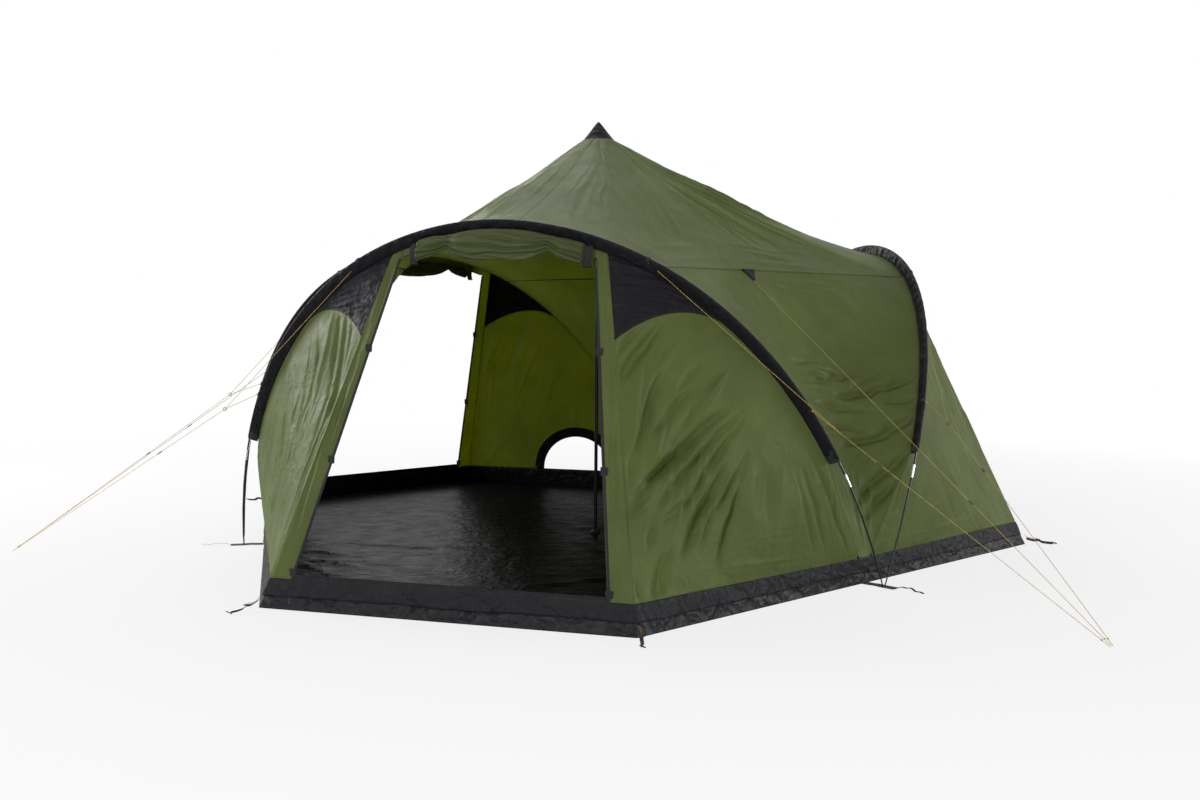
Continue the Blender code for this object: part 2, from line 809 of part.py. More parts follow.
def roof_grid():
    sleeve, seam, mirror = roof_edge()
    places = sleeve + seam + mirror
    threads = [roof_thread(p) for p in places]
    for k, thread in enumerate(threads):
        on_seam = len(sleeve) < k < len(sleeve) + len(seam) - 1
        thread[-1] = pull(thread[-1], thread[-2], SEAM_GAP if on_seam else JOIN_GAP)
    threads[0] = [pull(p, q, SEAM_GAP) for p, q in zip(threads[0], threads[1])]
    threads[-1] = [pull(p, q, SEAM_GAP) for p, q in zip(threads[-1], threads[-2])]
    return [[thread[row] for thread in threads] for row in range(ROOF_ROWS + 1)]


# Base: hem and groundsheet


def turned(point, angle):
    c, s = math.cos(angle), math.sin(angle)
    return Vector((point.x * c - point.y * s, point.x * s + point.y * c, point.z))


def base_outline(height, sill=False):
    """The tent's plan at a height, counter-clockwise; with the doorways' edges doubled for a sill."""
    places = []
    for bay in range(3):
        bay_places = [(corner(height, -1), 0)]
        if sill:
            outer = corner(SILL_TOP).x - STRIP_BOTTOM - 2 * SEAM_GAP
            inner = outer - SILL_STEP
            for x, raised in ((-outer, 0), (-inner, 1), (inner, 1), (outer, 0)):
                bay_places.append((Vector((x, corner(height).y, height)), raised))
        start, middle = corner(height), foot_middle(height)
        end = turned(corner(height, -1), THIRD)
        bay_places += [(start.lerp(middle, k / SIDE_PARTS), 0) for k in range(SIDE_PARTS)]
        bay_places += [(middle.lerp(end, k / SIDE_PARTS), 0) for k in range(SIDE_PARTS)]
        places += [(turned(p, THIRD * bay), raised) for p, raised in bay_places]
    return places


def offset_outline(places, distance):
    """An outline moved outwards, with mitred corners."""
    count = len(places)
    result = []
    for k in range(count):
        before, here, after = places[k - 1], places[k], places[(k + 1) % count]
        a = (here - before).to_2d().normalized()
        b = (after - here).to_2d().normalized()
        normal = Vector((a.y, -a.x)) + Vector((b.y, -b.x))
        normal = normal * (distance * 2.0 / normal.length_squared)
        result.append(Vector((here.x + normal.x, here.y + normal.y, here.z)))
    return result


def hem_mesh():
    """The band round the foot of the flysheet, higher across the doorways."""
    low = [p for p, _ in base_outline(HEM_BOTTOM, sill=True)]
    raised = [r for _, r in base_outline(HEM_TOP, sill=True)]
    top = [p for p, _ in base_outline(HEM_TOP, sill=True)]
    sill = [p for p, _ in base_outline(SILL_TOP, sill=True)]
    high = [s if r else t for s, t, r in zip(sill, top, raised)]
    half = CLOTH / 2
    loops = [offset_outline(low, half), offset_outline(high, half), offset_outline(high, -half),
             offset_outline(low, -half)]
    count = len(low)
    verts = [v for loop in loops for v in loop]
    faces = upright_faces(count, 0, 1) + ring_faces(0, count, 1, 2)
    faces += upright_faces(count, 3, 2) + ring_faces(0, count, 3, 0)
    return mesh_from("hem_band", verts, faces, smooth=False)


def upright_faces(count, lower, upper):
    """Triangles between a lower and an upper ring, always split the same way so that layers stay parallel."""
    faces = []
    for i in range(count):
        j = (i + 1) % count
        faces.append((lower * count + i, lower * count + j, upper * count + j))
        faces.append((lower * count + i, upper * count + j, upper * count + i))
    return faces


def groundsheet_mesh():
    """The floor with its upright edge, as an open tray."""
    levels = [[p for p, _ in base_outline(z)] for z in (0.0, HEM_BOTTOM, TUB_HEIGHT)]
    outer, inner = -TUB_OFFSET + CLOTH / 2, -TUB_OFFSET - CLOTH / 2
    loops = [offset_outline(level, outer) for level in levels]
    loops += [offset_outline(level, inner) for level in reversed(levels)]
    loops[-1] = [Vector((p.x, p.y, FLOOR)) for p in loops[-1]]
    count = len(levels[0])
    verts = [v for loop in loops for v in loop]
    faces = upright_faces(count, 0, 1) + upright_faces(count, 1, 2) + ring_faces(0, count, 2, 3)
    faces += upright_faces(count, 4, 3) + upright_faces(count, 5, 4)
    faces.append(tuple(range(count)))
    faces.append(tuple(range(5 * count, 6 * count)))
    return mesh_from("groundsheet", verts, faces, smooth=False)


def peg_loop_mesh(root):
    """A strap of webbing with a long slot, lying on the ground outwards from its root."""
    wide, slot = LOOP_WIDTH / 2, LOOP_SLOT_WIDTH / 2
    end = LOOP_LENGTH
    outer = [(-root, -wide), (end, -wide), (end, wide), (-root, wide)]
    slot_end = end - (wide - slot)
    slot_start = slot_end - LOOP_SLOT_LENGTH
    inner = [(slot_start, -slot), (slot_end, -slot), (slot_end, slot), (slot_start, slot)]
    outer_rings, inner_rings = [], []
    for z in (0.0, FLOOR):
        outer_rings.append([Vector((x, y, z)) for x, y in outer])
        inner_rings.append([Vector((x, y, z)) for x, y in inner])
    return hollow_loft("peg_loop", outer_rings, inner_rings, smooth=False)


def groundsheet_object(surface):
    """Floor, upright edge and the peg loops sewn to its corners."""
    result = link("groundsheet", groundsheet_mesh(), surface)
    strap = peg_loop_mesh(LOOP_ROOT)
    for bay in range(3):
        for side in (-1, 1):
            place = turned(corner(0.0, side), THIRD * bay)
            guide = link(f"loop_guide_{bay}_{side}", strap, surface)
            guide.location = place
            guide.rotation_euler.z = math.atan2(place.y, place.x)
            guide.hide_render = True
            guide.display_type = "WIRE"
            cut(result, guide, "UNION")
    return result


def foot_strap_mesh():
    """Webbing from the groundsheet's edge under the two pole pins, with an eyelet for each and a loose tail."""
    start = long_side_distance(0.0) - TUB_OFFSET + CLOTH / 2 + SEAM_GAP
    end = FOOT_RADIUS + STRAP_REACH
    half, tail = STRAP_WIDTH / 2, STRAP_TAIL_WIDTH / 2
    side = [(start, half), (end, half), (end, tail), (end + STRAP_TAIL, tail)]
    outline = [(x, -y) for x, y in side] + list(reversed(side))
    return loft("foot_strap", [[Vector((x, y, z)) for x, y in outline] for z in (0.0, STRAP_THICKNESS)],
                smooth=False)


def eyelet_cutter():
    """Holes for both pins, at the places where they stand."""
    tip = in_foot_frame(arch_point(station_at_height(PIN_GROUND_GAP + PIN_RADIUS)))
    guides = []
    for side in (-1, 1):
        profile = [(0.0, -EYELET_RADIUS), (EYELET_RADIUS, -EYELET_RADIUS), (EYELET_RADIUS, 2 * EYELET_RADIUS),
                   (0.0, 2 * EYELET_RADIUS)]
        guide = link(f"eyelet_guide_{side}", lathe("eyelet_guide", profile, 16, smooth=False), SURFACES["webbing"])
        guide.location = (tip.x, abs(tip.y) * side, 0.0)
        guide.hide_render = True
        guide.display_type = "WIRE"
        guides.append(guide)
    return guides


# Centre pole and cap


def pole_top():
    """Height at which the centre pole meets the cap's pocket."""
    return APEX_HEIGHT - CAP_POCKET - SEAM_GAP


def centre_pole(surface_pole, surface_plastic):
    inner = LOWER_RADIUS - TUBE_WALL
    base_top = FLOOR + SEAM_GAP + BASE_HEIGHT
    seat = base_top - BASE_SOCKET + SEAM_GAP
    socket = LOWER_RADIUS + TUBE_GAP
    base = [(0.0, FLOOR + SEAM_GAP), (BASE_RADIUS, FLOOR + SEAM_GAP), (BASE_RADIUS, FLOOR + SEAM_GAP + 0.006),
            (socket + 0.006, base_top), (socket, base_top), (socket, seat - SEAM_GAP), (0.0, seat - SEAM_GAP)]
    link("centre_pole_foot", lathe("centre_pole_foot", base, 20), surface_plastic)
    lower = [(LOWER_RADIUS, seat), (LOWER_RADIUS, LOWER_TOP), (inner, LOWER_TOP), (inner, seat)]
    link("centre_pole_lower", lathe("centre_pole_lower", lower, 16), surface_pole)
    upper_radius = inner - TUBE_GAP
    bottom = LOWER_TOP - UPPER_OVERLAP
    upper = [(0.0, bottom), (upper_radius, bottom), (upper_radius, pole_top()), (0.0, pole_top())]
    link("centre_pole_upper", lathe("centre_pole_upper", upper, 16), surface_pole)


def cap_object(surface):
    """The apex cap: a hollow cone with a drawn-in side and a pocket for the pole."""
    rim = APEX_HEIGHT - CAP_HEIGHT
    pocket = LOWER_RADIUS + CAP_WALL
    ceiling = APEX_HEIGHT - CAP_POCKET
    outer = [(CAP_RADIUS, rim), (CAP_RADIUS * 0.66, rim + CAP_HEIGHT * 0.28), (CAP_RADIUS * 0.34,
             rim + CAP_HEIGHT * 0.62), (CAP_TIP_RADIUS * 2.0, APEX_HEIGHT - 0.008), (0.0, APEX_HEIGHT)]
    inner = [(0.0, ceiling), (pocket, ceiling), (pocket, ceiling - 0.004),
             (CAP_RADIUS * 0.66 - CAP_WALL * 1.5, rim + CAP_HEIGHT * 0.20), (CAP_RADIUS - CAP_WALL, rim)]
    return link("apex_cap", lathe("apex_cap", outer + inner, CAP_SIDES), surface)


# Door rolls, zip pulls and the vent


def face_frame():
    """Down the bay's face in its middle, and square to it towards the outside."""
    top, base = junction(0.0), corner(HEM_TOP)
    down = (Vector((0.0, base.y, base.z)) - top).normalized()
    outward = Vector((1.0, 0.0, 0.0)).cross(down).normalized()
    if outward.y > 0.0:
        outward = -outward
    return top, down, outward


def lintel_edge(x):
    """The lintel's lower edge straight above or below a place across the doorway."""
    points = [ruling_point(r, LINTEL) for r in wall_columns()[:len(FACE_STATIONS) - 1]]
    for a, b in zip(points, points[1:]):
        if abs(x) <= b.x:
            place = a.lerp(b, (abs(x) - a.x) / (b.x - a.x))
            return Vector((x, place.y, place.z))
    return points[-1]


def roll_mesh():
    """The rolled door: a lumpy bolster drawn in and held up at its ties, with its ends pinched."""
    _, down, outward = face_frame()
    rings = []
    for k in range(ROLL_RINGS + 1):
        share = -1.0 + 2.0 * k / ROLL_RINGS
        x = share * ROLL_HALF
        drawn = sum(math.exp(-((x - tie) / 0.035) ** 2) for tie in ROLL_TIES)
        end = math.sqrt(max(1.0 - abs(share) ** 6, 0.04))
        radius = ROLL_RADIUS * end * (1.0 - 0.28 * drawn)
        ring = []
        for i in range(ROLL_SIDES):
            angle = 2.0 * math.pi * i / ROLL_SIDES
            lump = 1.0 + 0.10 * math.cos(3.0 * angle + 5.0 * share) + 0.05 * math.sin(5.0 * angle - 9.0 * share)
            flat = 0.80 * math.cos(angle) * radius * lump
            high = math.sin(angle) * radius * lump
            ring.append(outward * flat - down * high)
        seat = min(step.dot(down) for step in ring)
        sag = ROLL_SAG * max(1.0 - share * share - drawn, 0.0)
        centre = lintel_edge(x) + down * (SEAM_GAP + sag - seat)
        rings.append([centre + step for step in ring])
    return loft("door_roll", rings)


def door_edge_line(side):
    """Upper end and direction of the doorway's edge, on the outside of the strip."""
    top, base, _ = wall_columns()[len(FACE_STATIONS) - 2]
    _, _, outward = face_frame()
    lift = outward * (CLOTH / 2 + SEAM_GAP + PULL_THICKNESS / 2)
    inset = Vector((PULL_WIDTH / 2 + SEAM_GAP, 0.0, 0.0))
    start, end = top + inset + lift, base + inset + lift
    if side < 0:
        start, end = mirrored(start), mirrored(end)
    return start, (end - start).normalized()


def zip_pull_mesh(side):
    """Slider body and hanging tab in one, drawn about its own middle."""
    _, down = door_edge_line(side)
    _, _, outward = face_frame()
    wide = outward.cross(down).normalized()
    outline = ((0.0, 0.40), (0.12, 0.50), (0.42, 0.50), (0.48, 0.22), (0.92, 0.30), (1.0, 0.22))
    rings = []
    for share, width in outline:
        level = PULL_THICKNESS * (0.5 if share < 0.45 else 0.3)
        middle = down * (share - 0.2) * PULL_LENGTH
        across_step = wide * PULL_WIDTH * width
        lift = outward * level
        rings.append([middle - across_step - lift, middle + across_step - lift, middle + across_step + lift,
                      middle - across_step + lift])
    return loft("zip_pull", rings)


# Guy lines


def line_curve(name, points, surface):
    """A round cord through its route's points."""
    data = bpy.data.curves.new(name, "CURVE")
    data.dimensions = "3D"
    data.bevel_depth = LINE_RADIUS
    data.bevel_resolution = 2
    data.use_fill_caps = True
    spline = data.splines.new("POLY")
    spline.points.add(len(points) - 1)
    for place, point in zip(spline.points, points):
        place.co = (*point, 1.0)
    return link(name, data, surface)


def tab_start(bay, u, towards):
    """Where a line leaves the sleeve: beside the pole, on the side that faces along the line."""
    centre = arch_point(abs(u))
    ahead = arch_point(abs(u) + 1e-3)
    if u < 0.0:
        centre, ahead = mirrored(centre), mirrored(ahead)
    centre, ahead = turned(centre, THIRD * bay), turned(ahead, THIRD * bay)
    tangent = (ahead - centre).normalized()
    aim = towards - centre
    aim = (aim - tangent * aim.dot(tangent)).normalized()
    reach = POLE_RADIUS + SLEEVE_BORE_GAP + SLEEVE_WALL + LINE_RADIUS + LINE_GAP
    return centre + aim * reach


def straight(start, end, steps):
    return [start.lerp(end, k / steps) for k in range(steps + 1)]


def tensioner_object(name, start, end, share, surface):
    """A slider on a line: a rounded bar with the line's bore through it, its length along the line."""
    place = start.lerp(end, share)
    along = (end - start).normalized()
    side = along.cross(Vector((0.0, 0.0, 1.0))).normalized()
    up = side.cross(along).normalized()
    bore = LINE_RADIUS + TENSIONER_BORE_GAP
    outer, inner = [], []
    for step, scale in ((-0.5, 0.8), (-0.4, 1.0), (0.4, 1.0), (0.5, 0.8)):
        middle = along * step * TENSIONER_LENGTH
        outline, hole = [], []
        for i in range(12):
            angle = 2.0 * math.pi * i / 12
            outline.append(middle + side * math.cos(angle) * TENSIONER_WIDTH / 2 * scale
                           + up * math.sin(angle) * TENSIONER_THICKNESS / 2 * scale)
            hole.append(middle + side * math.cos(angle) * bore + up * math.sin(angle) * bore)
        outer.append(outline)
        inner.append(hole)
    result = link(name, hollow_loft(name, outer, inner), surface)
    result.location = place
    return result


def bridle(key, facts):
    """One main line from the upper tab through the ring's place to the peg, and its branch from the lower tab."""
    side = facts["side"]
    ring, peg = Vector(facts["ring"]), Vector(facts["peg"])
    start = tab_start(facts["bay"], side * UPPER_TAB, ring)
    main = straight(start, ring, 6) + straight(ring, peg, 8)[1:]
    line_curve(f"guy_{key}", main, SURFACES["cord"])
    low = tab_start(facts["bay"], side * LOWER_TAB, ring)
    angle = (low - ring).angle(start - ring)
    clear = (LINE_RADIUS * (1.0 + math.cos(angle)) + SEAM_GAP) / math.sin(angle)
    stop = ring + (low - ring).normalized() * clear
    line_curve(f"guy_branch_{key}", straight(low, stop, 4), SURFACES["cord"])
    tensioner_object(f"tensioner_{key}", ring, peg, facts["slider"], SURFACES["plastic"])


def valley_line(key, facts):
    """The line from the triangle under the roof seam to the peg."""
    edge = valley_edge()
    grid = valley_grid()
    middle = VALLEY_CELLS
    share = TRIANGLE_DROP / (grid[0][middle] - grid[1][middle]).length
    surface_point = grid[0][middle].lerp(grid[1][middle], share)
    angle = FOOT_ANGLE + THIRD * facts["foot"]
    start = turned(surface_point, angle)
    peg = Vector(facts["peg"])
    slope = (grid[1][middle] - grid[0][middle]).normalized()
    normal = turned(Vector((-slope.z, 0.0, slope.x)), angle)
    if normal.z < 0.0:
        normal = -normal
    start = start + normal * (CLOTH / 2 + LINE_RADIUS + LINE_GAP)
    line_curve(f"guy_{key}", straight(start, peg, 12), SURFACES["cord"])
    tensioner_object(f"tensioner_{key}", start, peg, facts["slider"], SURFACES["plastic"])
    return edge


SURFACES = {}


def make_surfaces():
    SURFACES["olive"] = material("olive_flysheet", (0.115, 0.150, 0.045), 0.55)
    SURFACES["charcoal"] = material("charcoal_cloth", (0.022, 0.022, 0.026), 0.60)
    SURFACES["hem"] = material("grey_hem", (0.045, 0.045, 0.050), 0.55)
    SURFACES["groundsheet"] = material("black_groundsheet", (0.012, 0.012, 0.013), 0.30)
    SURFACES["pole"] = material("black_pole", (0.010, 0.010, 0.011), 0.35)
    SURFACES["ferrule"] = material("bright_ferrule", (0.70, 0.71, 0.72), 0.30, 1.0)
    SURFACES["webbing"] = material("black_webbing", (0.014, 0.014, 0.015), 0.75)
    SURFACES["plastic"] = material("black_plastic", (0.015, 0.015, 0.016), 0.45)
    SURFACES["cord"] = material("yellow_cord", (0.55, 0.36, 0.06), 0.70)


def empty(name, angle):
    result = bpy.data.objects.new(name, None)
    result.rotation_euler.z = angle
    bpy.context.scene.collection.objects.link(result)
    return result


def make_frame(bays):
    """Arch rods, legs and ferrules."""
    crown = crown_mesh()
    right_leg, right_ferrule = leg_mesh(), ferrule_mesh()
    left_leg, left_ferrule = flip_mesh(right_leg, "arch_leg_l"), flip_mesh(right_ferrule, "ferrule_l")
    for bay, parent in zip(BAYS, bays):
        link(f"arch_crown_{bay}", crown, SURFACES["pole"], parent)
        link(f"leg_{bay}_r", right_leg, SURFACES["pole"], parent)
        link(f"leg_{bay}_l", left_leg, SURFACES["pole"], parent)
        link(f"ferrule_{bay}_r", right_ferrule, SURFACES["ferrule"], parent)
        link(f"ferrule_{bay}_l", left_ferrule, SURFACES["ferrule"], parent)
    centre_pole(SURFACES["pole"], SURFACES["plastic"])


def make_flysheet(bays, feet):
    """Sleeves, walls, roof sectors, valley walls, cap, doors, hem and vent."""
    sleeve = sleeve_mesh()
    walls = {}
    for bay, parent in zip(BAYS, bays):
        link(f"arch_sleeve_{bay}", sleeve, SURFACES["charcoal"], parent)
        walls[bay] = wall_object(f"bay_wall_{bay}", SURFACES["olive"], parent)
    for foot, parent in zip(FEET, feet):
        cloth_sheet(f"roof_{foot}", roof_grid(), SURFACES["olive"], parent)
        cloth_sheet(f"valley_wall_{foot}", valley_grid(), SURFACES["olive"], parent)
    cap_object(SURFACES["charcoal"])
    door_object("door_right", SURFACES["olive"], bays[1])
    roll = roll_mesh()
    link("door_roll_front", roll, SURFACES["olive"], bays[0])
    link("door_roll_left", roll, SURFACES["olive"], bays[2])
    link("hem_band", hem_mesh(), SURFACES["hem"])
    make_vent(walls["left"], bays[2])


def make_vent(wall, parent):
    """The half-round opening and the border that is set into it."""
    cut(wall, vent_cutter())
    vent_border_object(SURFACES["charcoal"], parent)


def make_base(feet):
    """Groundsheet with its peg loops, and the foot straps with their eyelets."""
    groundsheet_object(SURFACES["groundsheet"])
    guides = eyelet_cutter()
    for foot, parent in zip(FEET, feet):
        strap = link(f"foot_strap_{foot}", foot_strap_mesh(), SURFACES["webbing"], parent)
        for guide in guides:
            guide_here = guide.copy()
            guide_here.parent = parent
            bpy.context.scene.collection.objects.link(guide_here)
            cut(strap, guide_here)
    for guide in guides:
        bpy.data.objects.remove(guide)


def make_fittings(bays):
    """Zip pulls and guy lines."""
    for side, tag in ((-1, "l"), (1, "r")):
        start, down = door_edge_line(side)
        pull_object = link(f"zip_pull_{tag}", zip_pull_mesh(side), SURFACES["plastic"], bays[0])
        pull_object.location = start + down * PULL_DROP
    for key, facts in BRIDLES.items():
        bridle(key, facts)
    for key, facts in VALLEY_LINES.items():
        valley_line(key, facts)


def main():
    for old in list(bpy.data.objects):
        bpy.data.objects.remove(old)
    make_surfaces()
    bays = [empty(f"bay_{name}", THIRD * k) for k, name in enumerate(BAYS)]
    feet = [empty(f"foot_{name}", FOOT_ANGLE + THIRD * k) for k, name in enumerate(FEET)]
    make_frame(bays)
    make_flysheet(bays, feet)
    make_base(feet)
    make_fittings(bays)
    bpy.context.view_layer.update()


main()
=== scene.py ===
"""Dresses the tipi tent's frame with cloth, webbing, cord and metal, and sets up the studio."""

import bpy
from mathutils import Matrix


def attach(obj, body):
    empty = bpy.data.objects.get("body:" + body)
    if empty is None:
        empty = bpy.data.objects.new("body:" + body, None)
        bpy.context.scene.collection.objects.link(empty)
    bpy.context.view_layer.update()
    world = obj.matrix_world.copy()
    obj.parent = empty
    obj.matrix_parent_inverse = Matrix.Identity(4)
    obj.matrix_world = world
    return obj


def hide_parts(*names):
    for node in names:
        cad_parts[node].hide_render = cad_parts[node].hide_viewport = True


bl_info = {
    "name": "Tipi tent",
    "version": (1, 0, 0),
    "blender": (4, 5, 0),
    "location": "3D View > Sidebar > Tent",
    "description": "Dresses the tipi tent's frame with cloth, webbing, cord and metal",
    "category": "Object",
}

import math
from contextlib import contextmanager

import bmesh
import bpy
import numpy as np
from mathutils import Matrix, Vector

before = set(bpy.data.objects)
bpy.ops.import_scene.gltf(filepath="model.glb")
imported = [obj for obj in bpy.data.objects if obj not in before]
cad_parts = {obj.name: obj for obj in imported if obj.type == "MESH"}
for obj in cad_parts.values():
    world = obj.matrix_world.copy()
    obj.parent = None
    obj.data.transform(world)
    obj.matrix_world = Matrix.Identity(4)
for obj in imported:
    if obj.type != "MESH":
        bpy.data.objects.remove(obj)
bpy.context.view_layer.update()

THIRD = math.radians(120.0)
BAYS = ("front", "right", "left")
FEET = ("right", "rear", "left")
SIDES = ((-1, "l"), (1, "r"))
FOOT_ANGLE = math.radians(-30.0)
LEVEL = np.array([1.0, 1.0, 0.0])
MIRROR = np.array([-1.0, 1.0, 1.0])

# The tent's sizes, the same as the frame's
APEX_HEIGHT = 3.0
CORNER_RADIUS = 3.09
CORNER_ANGLE = math.radians(20.25)
LONG_SIDE_SLOPE = 0.08
WAIST_RADIUS = 1.41
WAIST_HEIGHT = 1.91
VALLEY_BULGE = 0.10
VALLEY_FOOT_HALF = 0.05
RIDGE_SAG = 0.33
FOOT_RADIUS = 2.525
FOOT_SPREAD = 0.02
ARCH_RISE = 2.31
ARCH_LEAN = math.radians(22.0)
CROWN_REACH = 0.39
SHOULDER_X = 1.753
SHOULDER_RISE = 2.145
POLE_RADIUS = 0.00635
SLEEVE_WIDTH = 0.062
SLEEVE_END_HEIGHT = 0.80
GUSSET_END_X = 1.30
GUSSET_DROP = 0.53
GUSSET_CURVE = 1.45
CREASE_TOP_X = 0.66
STRIP_TOP = 0.072
STRIP_BOTTOM = 0.135
LINTEL = 0.055
HEM_TOP = 0.15
HEM_BOTTOM = 0.068
SILL_TOP = 0.182
ROOF_SEAM_X = 0.82
VENT_CENTRE_X = -0.87
VENT_RADIUS = 0.40
VENT_BORDER = 0.08
CAP_RADIUS = 0.115
CAP_HEIGHT = 0.13
ROLL_ENDS = (-0.48, 0.55)
ROLL_TIES = (-0.27, 0.33)
TUB_HEIGHT = 0.148
TUB_OFFSET = 0.0023
LINE_RADIUS = 0.0015
UPPER_TAB = 0.43
LOWER_TAB = 0.775
TRIANGLE_DROP = 0.09
STRIP_TAB_HEIGHTS = (1.41, 0.79, 0.19)
BRIDLES = {
    "front_r": (0, 1, (1.965, -1.765, 0.945), (3.336, -2.350, 0.004)),
    "right_l": (1, -1, (2.515, -0.890, 0.965), (3.352, -2.326, 0.004)),
    "front_l": (0, -1, (-1.975, -1.780, 0.985), (-3.482, -1.966, 0.004)),
    "left_r": (2, 1, (-2.565, -0.780, 1.005), (-3.494, -1.940, 0.004)),
}
VALLEY_LINES = {"valley_r": (0, (3.344, -2.338, 0.004)), "valley_l": (2, (-3.488, -1.953, 0.004))}

# Sizes of the dressing
SLEEVE_TUBE = 0.0108
SLEEVE_SEAM_HALF = 0.0016
SIDE_REACH = 0.985
FOLD_STRETCH = 0.22
HEM_LAP = 0.007
HEM_CLEAR = 0.0012
CAP_SKIRT = 0.013
ROLL_STEPS = 170
ROLL_SIDES = 96
CAP_ROWS = 26
CAP_SIDES = 96
HEM_ROWS = 11
DOOR_STEPS = 108
SIDE_STEPS = 99
ELASTIC_RADIUS = 0.0011
BUCKLE_BAR = 0.0022
BUCKLE_WIDTH = 0.030
BUCKLE_LENGTH = 0.024
WELT_RADIUS = 0.0019
TAB_STACK = 0.0030
LINE_GAP = 0.0004
THREAD = 0.0006
DYE_SPREAD = 0.14


def size_property(name, text, value, low, high, **more):
    return bpy.props.FloatProperty(name=name, description=text, default=value, min=low, max=high, **more)


def colour_property(name, text, value):
    return bpy.props.FloatVectorProperty(name=name, description=text, default=value, subtype="COLOR", size=3,
                                         min=0.0, max=1.0)


class TentSizes(bpy.types.PropertyGroup):
    """Sizes of the dressing that do not change the frame."""

    cloth: size_property("Cloth", "Thickness of the flysheet", 0.0008, 0.0002, 0.002,
                         unit="LENGTH", precision=4)
    weave: size_property("Cell", "Distance between the points of the cloth meshes", 0.018, 0.01, 0.06,
                         unit="LENGTH")
    folds: size_property("Folds", "Strength of the folds in the cloth", 1.3, 0.0, 4.0, subtype="FACTOR")
    stitch: size_property("Stitch", "Distance between stitches", 0.012, 0.004, 0.03,
                          unit="LENGTH", precision=4)
    key_power: size_property("Key lamp", "Power of the large lamp at the upper left", 520.0, 0.0, 5000.0)
    sky: size_property("Sky", "Strength of the even light from all round", 0.07, 0.0, 2.0)


class TentColours(bpy.types.PropertyGroup):
    """Colours of the cloths, cords and fittings."""

    olive: colour_property("Olive", "Flysheet", (0.140, 0.176, 0.055))
    olive_glow: colour_property("Olive glow", "Light that comes through the flysheet", (0.55, 0.61, 0.045))
    charcoal: colour_property("Charcoal", "Sleeves, gussets and cap", (0.0135, 0.0135, 0.0165))
    hem: colour_property("Hem", "Band round the foot", (0.021, 0.021, 0.025))
    floor_cloth: colour_property("Floor cloth", "Groundsheet", (0.006, 0.006, 0.0065))
    webbing: colour_property("Webbing", "Straps and tabs", (0.010, 0.010, 0.011))
    cord: colour_property("Cord", "Guy lines", (0.80, 0.53, 0.13))
    elastic: colour_property("Elastic", "Orange loops", (0.62, 0.28, 0.04))
    pole: colour_property("Pole", "Coated rods", (0.008, 0.008, 0.009))


def sizes():
    return bpy.context.scene.tent_sizes


# Places on the tent, in a bay that faces -Y


def turn(points, angle):
    """Points turned about the centre."""
    points = np.asarray(points, float)
    c, s = math.cos(angle), math.sin(angle)
    x, y = points[..., 0], points[..., 1]
    return np.stack([x * c - y * s, x * s + y * c, points[..., 2]], axis=-1)


def placed(points, bay, side=1):
    """Points of the front bay's right half, carried to a side of another bay."""
    return turn(np.asarray(points, float) * (MIRROR if side < 0 else 1.0), THIRD * bay)


def at_foot(points, k):
    """Points from the foot's frame, whose X points out through the foot."""
    return turn(points, FOOT_ANGLE + THIRD * k)


def unit(vectors):
    vectors = np.asarray(vectors, float)
    return vectors / np.maximum(np.linalg.norm(vectors, axis=-1, keepdims=True), 1e-12)


def mix(first, second, share):
    """A place between two others."""
    return first + (second - first) * share


def ruled(first, second, count):
    """A grid of straight lines from one row of points to another."""
    return mix(first[None], second[None], np.linspace(0.0, 1.0, count)[:, None, None])


def arch_flat(u):
    """Place in the arch's own plane, from -1 at the left foot to 1 at the right foot."""
    t = np.abs(u)
    foot_x = FOOT_RADIUS * math.cos(FOOT_ANGLE) - FOOT_SPREAD
    points = ((0.0, ARCH_RISE), (CROWN_REACH, ARCH_RISE), (SHOULDER_X, SHOULDER_RISE), (foot_x, 0.0))
    weights = ((1 - t) ** 3, 3 * t * (1 - t) ** 2, 3 * t * t * (1 - t), t ** 3)
    x = sum(w * p[0] for w, p in zip(weights, points))
    return np.sign(u) * x, sum(w * p[1] for w, p in zip(weights, points))


def from_plane(x, rise):
    return np.stack([x, -rise * math.sin(ARCH_LEAN), rise * math.cos(ARCH_LEAN)], axis=-1)


PLANE_NORMAL = np.array([0.0, -math.cos(ARCH_LEAN), -math.sin(ARCH_LEAN)])


def arch_point(u):
    return from_plane(*arch_flat(np.asarray(u, float))) + [0.0, FOOT_RADIUS * math.sin(FOOT_ANGLE), 0.0]


def arch_inward(u):
    u = np.asarray(u, float)
    ax, ar = arch_flat(np.maximum(u - 1e-4, -1.0))
    bx, br = arch_flat(np.minimum(u + 1e-4, 1.0))
    return unit(from_plane(br - ar, ax - bx))


def junction(u):
    """Where sleeve, roof and wall are sewn together."""
    return arch_point(u) + arch_inward(u) * SLEEVE_WIDTH


STATIONS = np.linspace(0.0, 0.97, 4000)


def station_at_x(x):
    return np.interp(x, junction(STATIONS)[:, 0], STATIONS)


U_CREASE = station_at_x(CREASE_TOP_X)
U_DOOR = station_at_x(CREASE_TOP_X - STRIP_TOP)
U_SEAM = station_at_x(ROOF_SEAM_X)
U_END = np.interp(-SLEEVE_END_HEIGHT, -arch_point(STATIONS)[:, 2], STATIONS)
ALONG_SIDE = np.array([-math.sin(FOOT_ANGLE), math.cos(FOOT_ANGLE), 0.0])


def corner(height):
    """The bay's corner at a height, on the crease from the ground to the sleeve."""
    ground = np.array([CORNER_RADIUS * math.sin(CORNER_ANGLE), -CORNER_RADIUS * math.cos(CORNER_ANGLE), 0.0])
    top = junction(U_CREASE)
    return ground + (top - ground) * height / top[2]


